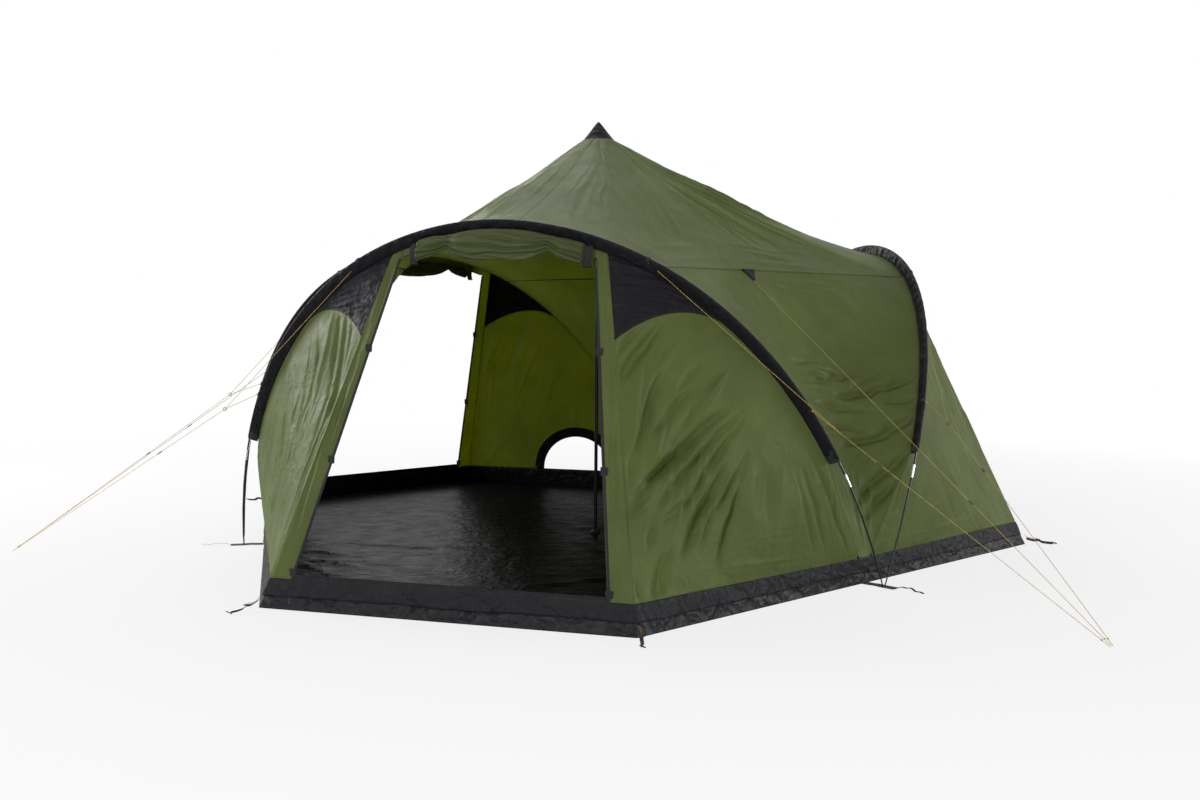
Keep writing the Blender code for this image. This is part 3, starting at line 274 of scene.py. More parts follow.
def foot_middle(height):
    """The middle of the long side, at the foot to the right of the bay."""
    swing = FOOT_ANGLE + math.radians(90.0) - CORNER_ANGLE
    reach = CORNER_RADIUS * math.cos(swing) - height * LONG_SIDE_SLOPE
    return np.array([reach * math.cos(FOOT_ANGLE), reach * math.sin(FOOT_ANGLE), height])


CREASE_FOOT = corner(HEM_TOP)
STRIP_FOOT = CREASE_FOOT - [STRIP_BOTTOM, 0.0, 0.0]
SEAM_FOOT = foot_middle(HEM_TOP) - ALONG_SIDE * VALLEY_FOOT_HALF
FACE_DOWN = unit(CREASE_FOOT * [0.0, 1.0, 1.0] - junction(0.0))
FACE_OUT = np.array([0.0, FACE_DOWN[2], -FACE_DOWN[1]])


def run_of(points):
    """Distance travelled along a row of points."""
    steps = np.linalg.norm(np.diff(points, axis=0), axis=1)
    return np.concatenate([[0.0], np.cumsum(steps)])


def at_run(points, want):
    """Points of a row at distances along it."""
    run = run_of(points)
    return np.stack([np.interp(want, run, points[:, k]) for k in range(points.shape[1])], axis=-1)


def resample(points, places):
    """Points of a row at shares of its length."""
    return at_run(points, np.asarray(places) * run_of(points)[-1])


def length_of(points):
    return float(run_of(points)[-1])


def count_for(length, cell):
    return max(int(round(length / cell)), 2) + 1


def doorway_lines(u):
    """The ends, at sleeve and hem, of the lines that run down the doorway from stations on the arch."""
    top = junction(u)
    low = top[..., 0] / junction(U_DOOR)[0] * STRIP_FOOT[0]
    return top, np.stack(np.broadcast_arrays(low, STRIP_FOOT[1], STRIP_FOOT[2]), axis=-1)


def lintel_edge(x, drop):
    """A line across the doorway, a distance below the sleeve's seam."""
    top, low = doorway_lines(station_at_x(np.abs(x)))
    place = top + unit(low - top) * drop
    place[..., 0] = x
    return place


# Folds


def hashed(ix, iy, iz, seed):
    """A repeatable value from -1 to 1 for each lattice point."""
    h = (ix * 374761393 + iy * 668265263 + iz * 1440662683 + seed * 974634777) & 0xFFFFFFFF
    h = ((h ^ (h >> 13)) * 1274126177) & 0xFFFFFFFF
    return ((h ^ (h >> 16)) & 0xFFFFFF) / float(0x7FFFFF) - 1.0


def cloud(points, size, seed, octaves=2):
    """Smooth noise over points, with features of about the given size in metres."""
    points = np.asarray(points, float)
    if points.shape[-1] == 2:
        points = np.concatenate([points, np.zeros(points.shape[:-1] + (1,))], axis=-1)
    total, weight = 0.0, 0.0
    for octave in range(octaves):
        scaled = points / size * 2 ** octave + 17.3 * octave + 31.7
        base = np.floor(scaled).astype(np.int64)
        part = smooth(scaled - base)
        value = 0.0
        for bits in range(8):
            step = np.array([bits & 1, bits >> 1 & 1, bits >> 2 & 1])
            share = np.prod(np.abs(1 - step - part), axis=-1)
            value = value + share * hashed(*np.moveaxis(base + step, -1, 0), seed)
        total = total + value / 2 ** octave
        weight += 1.0 / 2 ** octave
    return total / weight


def smooth(value):
    value = np.clip(value, 0.0, 1.0)
    return value * value * (3.0 - 2.0 * value)


def crest(wave):
    """Rounded ridges with narrow valleys between them, from -1 to 1."""
    return 2.0 * np.abs(np.cos(np.pi * wave)) ** 0.8 - 1.1


def crumple(flat, size, height, seed):
    """Small sharp creases between flat places."""
    return height * (0.5 - np.abs(cloud(flat, size, seed, 3)) ** 0.7)


def fan(flat, anchor, start, end, count, height, near, far, seed):
    """Folds that spread from an anchor between two angles, on points flattened to two coordinates."""
    step = flat - np.asarray(anchor)
    reach = np.hypot(step[..., 0], step[..., 1])
    share = (np.degrees(np.arctan2(step[..., 1], step[..., 0])) - start) / (end - start)
    wave = share * count + 0.35 * cloud(flat, 0.45, seed)
    inside = smooth(share * 4.0) * smooth((1.0 - share) * 4.0)
    strength = 0.55 + 0.45 * cloud(flat, 0.35, seed + 7)
    return height * crest(wave) * inside * smooth(reach / near) * np.exp(-(reach / far) ** 2) * strength


def streaks(flat, direction, spacing, length, height, seed):
    """Long folds that lie one beside the other along a direction in degrees."""
    c, s = math.cos(math.radians(direction)), math.sin(math.radians(direction))
    along = flat[..., 0] * c + flat[..., 1] * s
    beside = -flat[..., 0] * s + flat[..., 1] * c
    warped = beside + 0.5 * spacing * cloud(flat, length * 0.5, seed)
    return height * cloud(np.stack([along / length, warped / spacing], axis=-1), 1.0, seed + 3)


def stroke(flat, start, end, width, height, bend=0.0):
    """One fold: a rounded ridge from one place to another."""
    step = np.subtract(end, start)
    length = max(float(np.hypot(*step)), 1e-6)
    away = flat - np.asarray(start)
    share = (away[..., 0] * step[0] + away[..., 1] * step[1]) / length ** 2
    bow = bend * length * 4.0 * share * (1.0 - share)
    beside = (away[..., 0] * step[1] - away[..., 1] * step[0]) / length - bow
    swell = np.sin(np.pi * np.clip(share, 0.0, 1.0))
    return height * np.exp(-np.abs(beside / (width * (0.4 + 0.6 * swell))) ** 1.6) * swell ** 0.9


def swayed(flat, size, wobble, seed):
    """Flattened points moved a little either way, so that no fold runs straight."""
    return flat + wobble * np.stack([cloud(flat, size, seed), cloud(flat, size, seed + 1)], axis=-1)


def bundle(flat, low, high, count, width, height, seed, bend=(-0.03, 0.03), wobble=0.018):
    """Folds that lie side by side and run from one line to another."""
    draw = np.random.RandomState(seed)
    flat = swayed(flat, 0.22, wobble, seed)
    low, high = np.asarray(low, float), np.asarray(high, float)
    total = np.zeros(flat.shape[:-1])
    for k in range(count):
        share = min(max((k + 0.5 + draw.uniform(-0.4, 0.4)) / count, 0.0), 1.0)
        start, end = mix(*low, share), mix(*high, share)
        near, far = draw.uniform(0.0, 0.35), draw.uniform(0.65, 1.0)
        total += stroke(flat, mix(start, end, near), mix(start, end, far), width * draw.uniform(0.6, 1.3),
                        height * draw.uniform(0.35, 1.0), draw.uniform(*bend))
    return total


def bundles(flat, table, seed, **more):
    """Folds from a table: a seed of their own, both ends of two lines, count, width and height."""
    return sum(bundle(flat, row[1:3], row[3:5], *row[5:], seed + row[0], **more) for row in table)


def strokes(flat, table, gain, wobble=0.010):
    """Folds from a table: start and end in metres, width in centimetres, height in millimetres."""
    flat = swayed(flat, 0.12, wobble, 9)
    total = 0.0
    for x0, z0, x1, z1, width, height in table:
        start, more = np.array([x0, z0]), FOLD_STRETCH * np.array([x1 - x0, z1 - z0])
        total = total + stroke(flat, start - more, (x1, z1) + more, 0.01 * width, 0.001 * height * gain)
    return total


def travelled(grid, axis):
    """Distance travelled along one axis of a grid."""
    steps = np.diff(grid, axis=axis, prepend=np.take(grid, [0], axis))
    return np.cumsum(np.linalg.norm(steps, axis=-1), axis=axis)


def free_share(grid, reach, sides="nsew"):
    """0 at the sewn edges of a grid, rising to 1 at a distance from them."""
    down, over = travelled(grid, 0), travelled(grid, 1)
    share = np.ones(grid.shape[:2])
    for side, distance in (("n", down), ("s", down[-1:] - down), ("w", over), ("e", over[:, -1:] - over)):
        if side in sides:
            share = share * smooth(distance / reach)
    return share


def grid_normals(grid):
    """Normals of a grid of points, turned away from the tent's middle."""
    normal = unit(np.cross(np.gradient(grid, axis=0), np.gradient(grid, axis=1)))
    away = grid - np.array([0.0, 0.0, 0.6])
    return normal * np.sign(np.sum(normal * away, axis=-1).mean())


def folded(grid, height):
    """A grid moved along its normals by a height at each point."""
    return grid + grid_normals(grid) * (height * sizes().folds)[..., None]


# Meshes


@contextmanager
def edited(data):
    """A mesh open for editing, and written back at the end."""
    build = bmesh.new()
    build.from_mesh(data)
    build.verts.ensure_lookup_table()
    yield build
    build.to_mesh(data)
    build.free()
    data.shade_smooth()


def link(name, data):
    obj = bpy.data.objects.new(name, data)
    data.name = name
    bpy.context.scene.collection.objects.link(obj)
    return obj


def mesh_of_grids(*grids, around=False):
    """One mesh of several grids, with a UV map in metres."""
    verts, faces, flats, start = [], [], [], 0
    for grid in grids:
        rows, cols = grid.shape[:2]
        loop = np.concatenate([grid, grid[:, :1]], axis=1) if around else grid
        across, down = run_of(loop[rows // 2]), run_of(grid[:, cols // 2])
        i, j = np.meshgrid(np.arange(rows - 1), np.arange(loop.shape[1] - 1), indexing="ij")
        ends = ((0, 0), (1, 0), (1, 1), (0, 1))
        quads = np.stack([(i + a) * cols + (j + b) % cols for a, b in ends], axis=-1)
        places = np.stack([np.stack([across[j + b], down[i + a]], axis=-1) for a, b in ends], axis=-2)
        verts.append(grid.reshape(-1, 3))
        faces.append(quads.reshape(-1, 4) + start)
        flats.append(places.reshape(-1, 2))
        start += rows * cols
    data = bpy.data.meshes.new("grids")
    data.from_pydata(np.concatenate(verts), [], np.concatenate(faces).tolist())
    uv = data.uv_layers.new(name="Cloth")
    uv.data.foreach_set("uv", np.concatenate(flats).astype(np.float32).ravel())
    data.shade_smooth()
    return data


def thicken(obj, thickness, offset=0.0):
    wall = obj.modifiers.new("thickness", "SOLIDIFY")
    wall.thickness = thickness
    wall.offset = offset


def cloth_piece(name, data, surface, nodes, flat, thickness=None,
                offset=0.0):
    """A sheet of cloth that stands for frame nodes, given its thickness and declared."""
    with edited(data) as build:
        bmesh.ops.remove_doubles(build, verts=build.verts, dist=1e-5)
        bmesh.ops.dissolve_degenerate(build, dist=1e-5, edges=build.edges)
    obj = link(name, data)
    thicken(obj, thickness or sizes().cloth, offset)
    declare(obj, surface, nodes)
    return obj


def plain_piece(name, data, surface, nodes=()):
    """A piece without thickness of its own to add, from one mesh or several."""
    obj = link(name, joined(data) if isinstance(data, list) else data)
    declare(obj, surface, nodes)
    return obj


def declare(obj, surface, nodes=()):
    """Gives a piece its material and the tent's body, and hides the frame nodes that it stands for."""
    obj.data.materials.append(SURFACES[surface])
    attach(obj, "tent")
    if nodes:
        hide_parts(*nodes)


def cut_size(flat):
    """The rectangle that a panel is cut from, for points laid flat."""
    return tuple(float(np.ptp(flat[..., k])) for k in (0, 1))


def closed_tube(rings):
    """A mesh through rings, with both ends closed."""
    rows, cols = rings.shape[:2]
    data = mesh_of_grids(rings, around=True)
    with edited(data) as build:
        for first in (0, (rows - 1) * cols):
            build.faces.new([build.verts[first + i] for i in range(cols)])
        bmesh.ops.recalc_face_normals(build, faces=build.faces)
    return data


def rod(path, radius, sides, up=(0.0, 0.0, 1.0)):
    """A round bar along a path."""
    path = np.asarray(path, float)
    tangent = unit(np.gradient(path, axis=0))
    side = unit(np.cross(tangent, np.asarray(up, float)) + 1e-9)
    top = np.cross(side, tangent)
    angle = np.linspace(0.0, 2.0 * np.pi, sides, endpoint=False)[:, None]
    ring = side[:, None] * np.cos(angle) + top[:, None] * np.sin(angle)
    return closed_tube(path[:, None] + ring * radius)


def strap(path, width, thickness, across):
    """A flat strap along a path; across is its width direction, one for all or one for each point."""
    path = np.asarray(path, float)
    across = unit(np.broadcast_to(np.asarray(across, float), path.shape))
    tangent = unit(np.gradient(path, axis=0))
    across = unit(across - tangent * np.sum(across * tangent, axis=-1, keepdims=True))
    up = np.cross(tangent, across)
    shape = ((-1, -0.6), (-0.9, -1), (0.9, -1), (1, -0.6), (1, 0.6), (0.9, 1), (-0.9, 1), (-1, 0.6))
    rings = [path + across * x * width / 2 + up * y * thickness / 2 for x, y in shape]
    return closed_tube(np.stack(rings, axis=1))


def joined(parts):
    """One mesh from several meshes, which are removed."""
    data = bpy.data.meshes.new("joined")
    with edited(data) as build:
        for part in parts:
            build.from_mesh(part)
            bpy.data.meshes.remove(part)
    return data


def torus(centre, axis, radius, thick, sides=20):
    """A closed ring."""
    axis = unit(axis)
    side = unit(np.cross(axis, [0.31, 0.17, 0.93]))
    top = np.cross(axis, side)
    a = np.linspace(0.0, 2.0 * np.pi, sides, endpoint=False)[:, None]
    b = np.linspace(0.0, 2.0 * np.pi, 8, endpoint=False)[:, None]
    spoke = side * np.cos(a) + top * np.sin(a)
    rings = np.asarray(centre) + spoke[:, None] * (radius + thick * np.cos(b)) + axis * (thick * np.sin(b))
    data = mesh_of_grids(np.concatenate([rings, rings[:1]]), around=True)
    with edited(data) as build:
        bmesh.ops.remove_doubles(build, verts=build.verts, dist=1e-6)
        bmesh.ops.recalc_face_normals(build, faces=build.faces)
    return data


# Node trees: what repeats along a line, and the materials


class Tree:
    """Short calls for building a node tree."""

    def __init__(self, tree):
        self.tree = tree

    def feed(self, socket, value):
        """Gives a socket a value, or a link where the value is another node's output."""
        if isinstance(value, bpy.types.NodeSocket):
            self.tree.links.new(value, socket)
        else:
            socket.default_value = value

    def add(self, kind, inputs=(), **values):
        node = self.tree.nodes.new(kind)
        for key, value in values.items():
            setattr(node, key, value)
        for key, value in dict(inputs).items():
            self.feed(node.inputs[key], value)
        return node


def repeat_tree(name, surface):
    """A node tree that lays short bars of slightly uneven length along the edges of a mesh."""
    tree = bpy.data.node_groups.new(name, "GeometryNodeTree")
    face = tree.interface
    face.new_socket("Lines", in_out="INPUT", socket_type="NodeSocketGeometry")
    for label, value in (("Spacing", 0.01), ("Length", 0.007), ("Width", 0.001)):
        face.new_socket(label, in_out="INPUT", socket_type="NodeSocketFloat").default_value = value
    face.new_socket("Seed", in_out="INPUT", socket_type="NodeSocketInt").default_value = 3
    face.new_socket("Bars", in_out="OUTPUT", socket_type="NodeSocketGeometry")
    nodes = Tree(tree)
    given, end = nodes.add("NodeGroupInput").outputs, nodes.add("NodeGroupOutput")
    curve = nodes.add("GeometryNodeMeshToCurve", {"Mesh": given["Lines"]}).outputs["Curve"]
    places = nodes.add("GeometryNodeCurveToPoints", {"Curve": curve, "Length": given["Spacing"]},
                       mode="LENGTH").outputs
    radius = nodes.add("ShaderNodeMath", {0: given["Width"], 1: 0.5}, operation="MULTIPLY").outputs["Value"]
    bar = nodes.add("GeometryNodeMeshCylinder", {"Vertices": 5, "Depth": given["Length"], "Radius": radius},
                    fill_type="NGON").outputs["Mesh"]
    uneven = nodes.add("FunctionNodeRandomValue", {2: 0.85, 3: 1.12, "Seed": given["Seed"]},
                       data_type="FLOAT").outputs[1]
    scale = nodes.add("ShaderNodeCombineXYZ", {"X": 1.0, "Y": 1.0, "Z": uneven}).outputs["Vector"]
    laid = nodes.add("GeometryNodeInstanceOnPoints", {"Points": places["Points"], "Instance": bar,
                                                      "Rotation": places["Rotation"], "Scale": scale})
    real = nodes.add("GeometryNodeRealizeInstances", {"Geometry": laid.outputs["Instances"]})
    paint = nodes.add("GeometryNodeSetMaterial", {"Geometry": real.outputs["Geometry"], "Material": surface})
    nodes.feed(end.inputs["Bars"], paint.outputs["Geometry"])
    return tree


def repeated(name, paths, spacing, length, width, surface, seed=3):
    """Bars laid along paths, as one plain mesh."""
    verts, edges = [], []
    for path in paths:
        first = len(verts)
        verts += [tuple(point) for point in path]
        edges += [(i, i + 1) for i in range(first, len(verts) - 1)]
    lines = bpy.data.meshes.new("lines")
    lines.from_pydata(verts, edges, [])
    guide = link(name + "_lines", lines)
    tree = repeat_tree(name, SURFACES[surface])
    step = guide.modifiers.new("bars", "NODES")
    step.node_group = tree
    values = {"Spacing": spacing, "Length": length, "Width": width, "Seed": seed}
    for item in tree.interface.items_tree:
        if item.item_type == "SOCKET" and item.in_out == "INPUT" and item.name in values:
            step[item.identifier] = values[item.name]
    graph = bpy.context.evaluated_depsgraph_get()
    made = bpy.data.meshes.new_from_object(guide.evaluated_get(graph), depsgraph=graph)
    bpy.data.objects.remove(guide)
    if not made.polygons:
        raise RuntimeError(f"{name} came out empty")
    obj = link(name, made)
    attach(obj, "tent")


class Nodes(Tree):
    """Short calls for building a material."""

    def __init__(self, name):
        self.material = bpy.data.materials.new(name)
        self.material.use_nodes = True
        super().__init__(self.material.node_tree)
        self.shader = self.tree.nodes["Principled BSDF"]
        self.place = self.add("ShaderNodeTexCoord").outputs

    def finish(self, values):
        """Sets the shader's inputs and gives the material."""
        for key, value in values.items():
            self.feed(self.shader.inputs[key], value)
        return self.material

    def add_light(self, share, light):
        """Mixes another shader with the material's own."""
        mixed = self.add("ShaderNodeMixShader", {"Fac": share, 1: self.shader.outputs["BSDF"], 2: light})
        self.feed(self.tree.nodes["Material Output"].inputs["Surface"], mixed.outputs["Shader"])

    def noise(self, scale, detail=3.0, rough=0.5, distortion=0.0, more=(), **values):
        inputs = {"Scale": scale, "Detail": detail, "Roughness": rough, "Distortion": distortion,
                  "Vector": self.place["Object"], **dict(more)}
        return self.add("ShaderNodeTexNoise", inputs, **values).outputs["Fac"]

    def ridges(self, scale):
        """Sharp creases that branch between flat places."""
        return self.noise(scale, 2.0, 0.5, 0.5, {"Lacunarity": 2.2, "Offset": 0.9, "Gain": 1.4},
                          noise_type="RIDGED_MULTIFRACTAL")

    def ramp(self, source, low, high, start, end):
        inputs = {"From Min": low, "From Max": high, "To Min": start, "To Max": end, "Value": source}
        return self.add("ShaderNodeMapRange", inputs).outputs["Result"]

    def blend(self, factor, first, second):
        """Between two colours, each given as three numbers or as another node's output."""
        first, second = (colour if isinstance(colour, bpy.types.NodeSocket) else (*colour, 1.0)
                         for colour in (first, second))
        return self.add("ShaderNodeMix", {"Factor": factor, 6: first, 7: second}, data_type="RGBA").outputs[2]

    def wave(self, scale, distortion, source, direction):
        inputs = {"Scale": scale, "Distortion": distortion, "Vector": self.place[source]}
        node = self.add("ShaderNodeTexWave", inputs, wave_type="BANDS", bands_direction=direction)
        return node.outputs["Fac"]

    def weave(self, spacing):
        """Threads both ways on the UV map, as a height from 0 to 1."""
        threads = {k: self.wave(0.314 / spacing, 0.4, "UV", direction) for k, direction in enumerate("XY")}
        return self.add("ShaderNodeMath", threads, operation="MAXIMUM").outputs["Value"]

    def bump(self, height, distance, strength=1.0, under=None):
        inputs = {"Distance": distance, "Strength": strength, "Height": height}
        if under is not None:
            inputs["Normal"] = under
        return self.add("ShaderNodeBump", inputs).outputs["Normal"]


def shade(colour, factor):
    return tuple(min(channel * factor, 1.0) for channel in colour)


def cloth_material(name, colour, glow=None, through=0.0, rough=0.5, sheen=0.15, creases=0.002, crumple=0.0008,
                   shine=0.5, ior=1.45, upright=None, wrinkle=0.0):
    """Coated woven cloth: soft creases, thread, uneven dye and, where it is thin, light from behind."""
    nodes = Nodes(name)
    tone = nodes.ramp(nodes.noise(2.3, 4.0, 0.55), 0.3, 0.7, 0.0, 1.0)
    base = nodes.blend(tone, shade(colour, 1.0 - DYE_SPREAD), shade(colour, 1.0 + DYE_SPREAD))
    steep = 1.0
    if upright is not None:
        wall = nodes.add("ShaderNodeAttribute", attribute_name="upright").outputs["Fac"]
        base = nodes.blend(wall, base, upright)
        shine = nodes.ramp(wall, 0.0, 1.0, shine, 0.5)
        steep = nodes.ramp(wall, 0.0, 1.0, 0.25, 1.0)
    normal = nodes.bump(nodes.noise(9.0, 3.0, 0.55, 0.6), creases, 0.8)
    normal = nodes.bump(nodes.noise(38.0, 3.0, 0.6), crumple, 0.7, normal)
    if wrinkle:
        normal = nodes.bump(nodes.ridges(13.0), wrinkle, steep, normal)
    normal = nodes.bump(nodes.weave(THREAD), THREAD * 0.25, 0.6, normal)
    if glow is not None:
        light = {"Color": nodes.blend(tone, shade(glow, 0.88), shade(glow, 1.1)), "Normal": normal}
        nodes.add_light(through, nodes.add("ShaderNodeBsdfTranslucent", light).outputs["BSDF"])
    uneven = nodes.ramp(nodes.noise(7.0, 4.0), 0.3, 0.7, rough - 0.06, rough + 0.08)
    return nodes.finish({"Base Color": base, "Roughness": uneven, "Specular IOR Level": shine, "IOR": ior,
                         "Sheen Weight": sheen, "Sheen Roughness": 0.4, "Normal": normal})


def webbing_material(name, colour):
    """Ribbed webbing."""
    nodes = Nodes(name)
    base = nodes.blend(nodes.noise(60.0, 2.0), shade(colour, 0.7), shade(colour, 1.5))
    return nodes.finish({"Base Color": base, "Roughness": 0.8, "Sheen Weight": 0.05,
                         "Normal": nodes.bump(nodes.weave(0.0018), 0.0005)})


def metal_material(name, colour, rough, metallic=0.0):
    """Drawn metal, or a smooth coat, with fine marks."""
    nodes = Nodes(name)
    base = nodes.blend(nodes.noise(25.0, 4.0), shade(colour, 0.85), shade(colour, 1.1))
    uneven = nodes.ramp(nodes.noise(60.0, 4.0), 0.3, 0.7, rough - 0.06, rough + 0.1)
    return nodes.finish({"Base Color": base, "Roughness": uneven, "Metallic": metallic,
                         "Normal": nodes.bump(nodes.noise(400.0, 2.0), 0.00005)})


def cord_material(name, colour, dark):
    """Braided cord: short slanting strands of two tones."""
    nodes = Nodes(name)
    strands = nodes.wave(90.0, 1.5, "Object", "DIAGONAL")
    base = nodes.blend(nodes.ramp(strands, 0.75, 0.95, 0.0, 1.0), colour, shade(colour, dark))
    return nodes.finish({"Base Color": base, "Roughness": 0.75, "Normal": nodes.bump(strands, 0.0004)})


SURFACES = {}
MADE = {}


def make_materials():
    c = bpy.context.scene.tent_colours
    SURFACES.update({
        "olive": cloth_material("olive_cloth", c.olive, c.olive_glow, 0.26, rough=0.48, sheen=0.0, shine=0.22,
                                creases=0.0040, crumple=0.0014, wrinkle=0.0016),
        "olive_seam": cloth_material("olive_seam", shade(c.olive, 0.60), c.olive_glow, 0.05, rough=0.55,
                                     shine=0.2),
        # Rolled doors: little light comes through the thick roll, and its colour is the olive at half,
        # painted shade for the roll's place under the sleeve.
        "olive_thick_painted_shade": cloth_material("olive_thick_painted_shade", shade(c.olive, 0.50), c.olive_glow, 0.04, rough=0.50,
                                      sheen=0.03, shine=0.25, creases=0.004),
        "charcoal": cloth_material("charcoal_cloth", c.charcoal, rough=0.55, sheen=0.02, creases=0.009,
                                   crumple=0.0030, shine=0.12, wrinkle=0.0050),
        "hem": cloth_material("hem_cloth", c.hem, rough=0.50, sheen=0.02, creases=0.012, crumple=0.0040,
                              shine=0.12, wrinkle=0.0060),
        "floor": cloth_material("floor_cloth", c.floor_cloth, rough=0.36, sheen=0.0, creases=0.006,
                                crumple=0.0030, shine=0.02, ior=1.22, upright=(0.024, 0.024, 0.027),
                                wrinkle=0.0090),
        "webbing": webbing_material("black_webbing", c.webbing),
        "thread": webbing_material("dark_thread", shade(c.olive, 0.35)),
        "plastic": metal_material("black_plastic", (0.012, 0.012, 0.013), 0.42),
        "pole": metal_material("coated_rod", c.pole, 0.33),
        "ferrule": metal_material("bright_ferrule", (0.82, 0.83, 0.84), 0.28, 1.0),
        "cord": cord_material("guy_cord", c.cord, 0.35),
        "elastic": cord_material("orange_elastic", c.elastic, 0.4),
    })


# Stage

CAMERA_PLACE = (2.6465, -9.053, 1.6378)
CAMERA_YAW = math.radians(-16.136)
CAMERA_PITCH = math.radians(-3.974)
CAMERA_ROLL = 0.008
CAMERA_LENS = 38.6
FLOOR_REACH = 60.0
# Name, place, size, share of the key's power, and the place that it points to
LAMPS = (
    ("key", (-8.8, 0.2, 4.3), 3.0, 0.76, (-0.8, -1.0, 1.0)),
    ("left", (-8.0, -4.5, 1.2), 2.4, 0.20, (-1.8, -1.8, 0.6)),
    ("front", (-0.6, -9.8, 5.0), 2.4, 0.45, (0.6, -1.5, 0.8)),
    ("right", (6.5, -7.5, 1.7), 3.0, 0.26, (1.5, -1.5, 0.5)),
    ("low", (8.5, 1.2, 2.2), 2.6, 0.37, (1.5, -1.0, 0.9)),
    ("top", (-1.5, 2.5, 8.0), 4.0, 0.25, (0.0, 0.0, 1.5)),
    ("back", (-5.0, 7.5, 4.0), 4.0, 0.40, (-0.5, 0.5, 1.0)),
)


class TENT_OT_stage(bpy.types.Operator):
    """Make the camera, the lamps, the world and the floor"""

    bl_idname = "tent.stage"
    bl_label = "Stage"

    def execute(self, context):
        scene = context.scene
        scene.view_settings.view_transform = "Standard"
        camera = bpy.data.cameras.new("view")
        camera.lens = CAMERA_LENS
        camera.sensor_width = 36.0
        camera.clip_end = 200.0
        eye = link("view", camera)
        c, s = math.cos(CAMERA_PITCH), math.sin(CAMERA_PITCH)
        forward = Vector((math.sin(CAMERA_YAW) * c, math.cos(CAMERA_YAW) * c, s))
        right = Vector((math.cos(CAMERA_YAW), -math.sin(CAMERA_YAW), 0.0))
        up = right.cross(forward)
        c, s = math.cos(CAMERA_ROLL), math.sin(CAMERA_ROLL)
        right, up = right * c + up * s, up * c - right * s
        facing = Matrix((right, up, -forward)).transposed().to_4x4()
        eye.matrix_world = Matrix.Translation(CAMERA_PLACE) @ facing
        scene.camera = eye
        for name, place, size, share, target in LAMPS:
            lamp = bpy.data.lights.new(name, "AREA")
            lamp.size = size
            lamp.energy = sizes().key_power * share
            obj = link(name, lamp)
            obj.location = place
            obj.rotation_euler = (Vector(target) - Vector(place)).to_track_quat("-Z", "Y").to_euler()
        self.world(scene)
        self.floor()
        return {"FINISHED"}

    def world(self, scene):
        scene.world = bpy.data.worlds.new("studio")
        scene.world.use_nodes = True
        nodes = Tree(scene.world.node_tree)
        rays = nodes.add("ShaderNodeLightPath").outputs
        seen = rays["Is Camera Ray"]
        for name in ("Is Glossy Ray", "Is Transmission Ray"):
            seen = nodes.add("ShaderNodeMath", {0: seen, 1: rays[name]}, operation="MAXIMUM").outputs["Value"]
        level = nodes.add("ShaderNodeMapRange", {"To Min": sizes().sky, "To Max": 1.0, "Value": seen})
        shown = nodes.tree.nodes["Background"].inputs
        nodes.feed(shown["Color"], (1.0, 1.0, 1.0, 1.0))
        nodes.feed(shown["Strength"], level.outputs["Result"])

    def floor(self):
        data = bpy.data.meshes.new("studio_floor")
        square = ((-1, -1), (1, -1), (1, 1), (-1, 1))
        data.from_pydata([(x * FLOOR_REACH, y * FLOOR_REACH, -0.002) for x, y in square], [], [(0, 1, 2, 3)])
        nodes = Nodes("pale_floor")
        seen = nodes.add("ShaderNodeLightPath").outputs["Is Camera Ray"]
        reach = nodes.add("ShaderNodeVectorMath", {0: nodes.place["Object"]}, operation="LENGTH")
        fade = nodes.ramp(reach.outputs["Value"], 3.0, 9.0, 0.80, 1.0)
        share = nodes.add("ShaderNodeMath", {0: fade, 1: seen}, operation="MULTIPLY")
        nodes.add_light(share.outputs["Value"], nodes.add("ShaderNodeEmission").outputs["Emission"])
        data.materials.append(nodes.finish({"Base Color": (0.80, 0.80, 0.80, 1.0), "Roughness": 1.0,
                                            "Specular IOR Level": 0.0}))
        link("studio_floor", data)


# Guy lines


def tab_start(bay, side, u, towards):
    """Where a line leaves the sleeve, beside the pole."""
    centre, ahead = placed(arch_point(u), bay, side), placed(arch_point(u + 1e-3), bay, side)
    tangent = unit(ahead - centre)
    aim = towards - centre
    aim = unit(aim - tangent * aim.dot(tangent))
    return centre + aim * (POLE_RADIUS + TAB_STACK + LINE_RADIUS)


def straight(start, end, steps):
    return mix(start, end, np.linspace(0.0, 1.0, steps + 1)[:, None])


def knot(centre, along):
    """A small overhand knot, as a lumpy bead of two crossing loops."""
    along = unit(along)
    size = 0.0055
    return joined([torus(centre, along, size * 0.55, size * 0.42, 14),
                   torus(centre + along * size * 0.6, unit(along + np.array([0.3, 0.5, 0.2])), size * 0.5,
                         size * 0.4, 14)])


def valley_point(drop):
    """A place on the valley wall's middle line and its outward normal, in the foot's frame."""
    place, ahead = at_run(valley_grid(9, 61)[:, 4], [drop, drop + 0.01])
    slope = unit(ahead - place)
    normal = np.array([-slope[2], 0.0, slope[0]])
    return place, normal if normal[2] > 0 else -normal


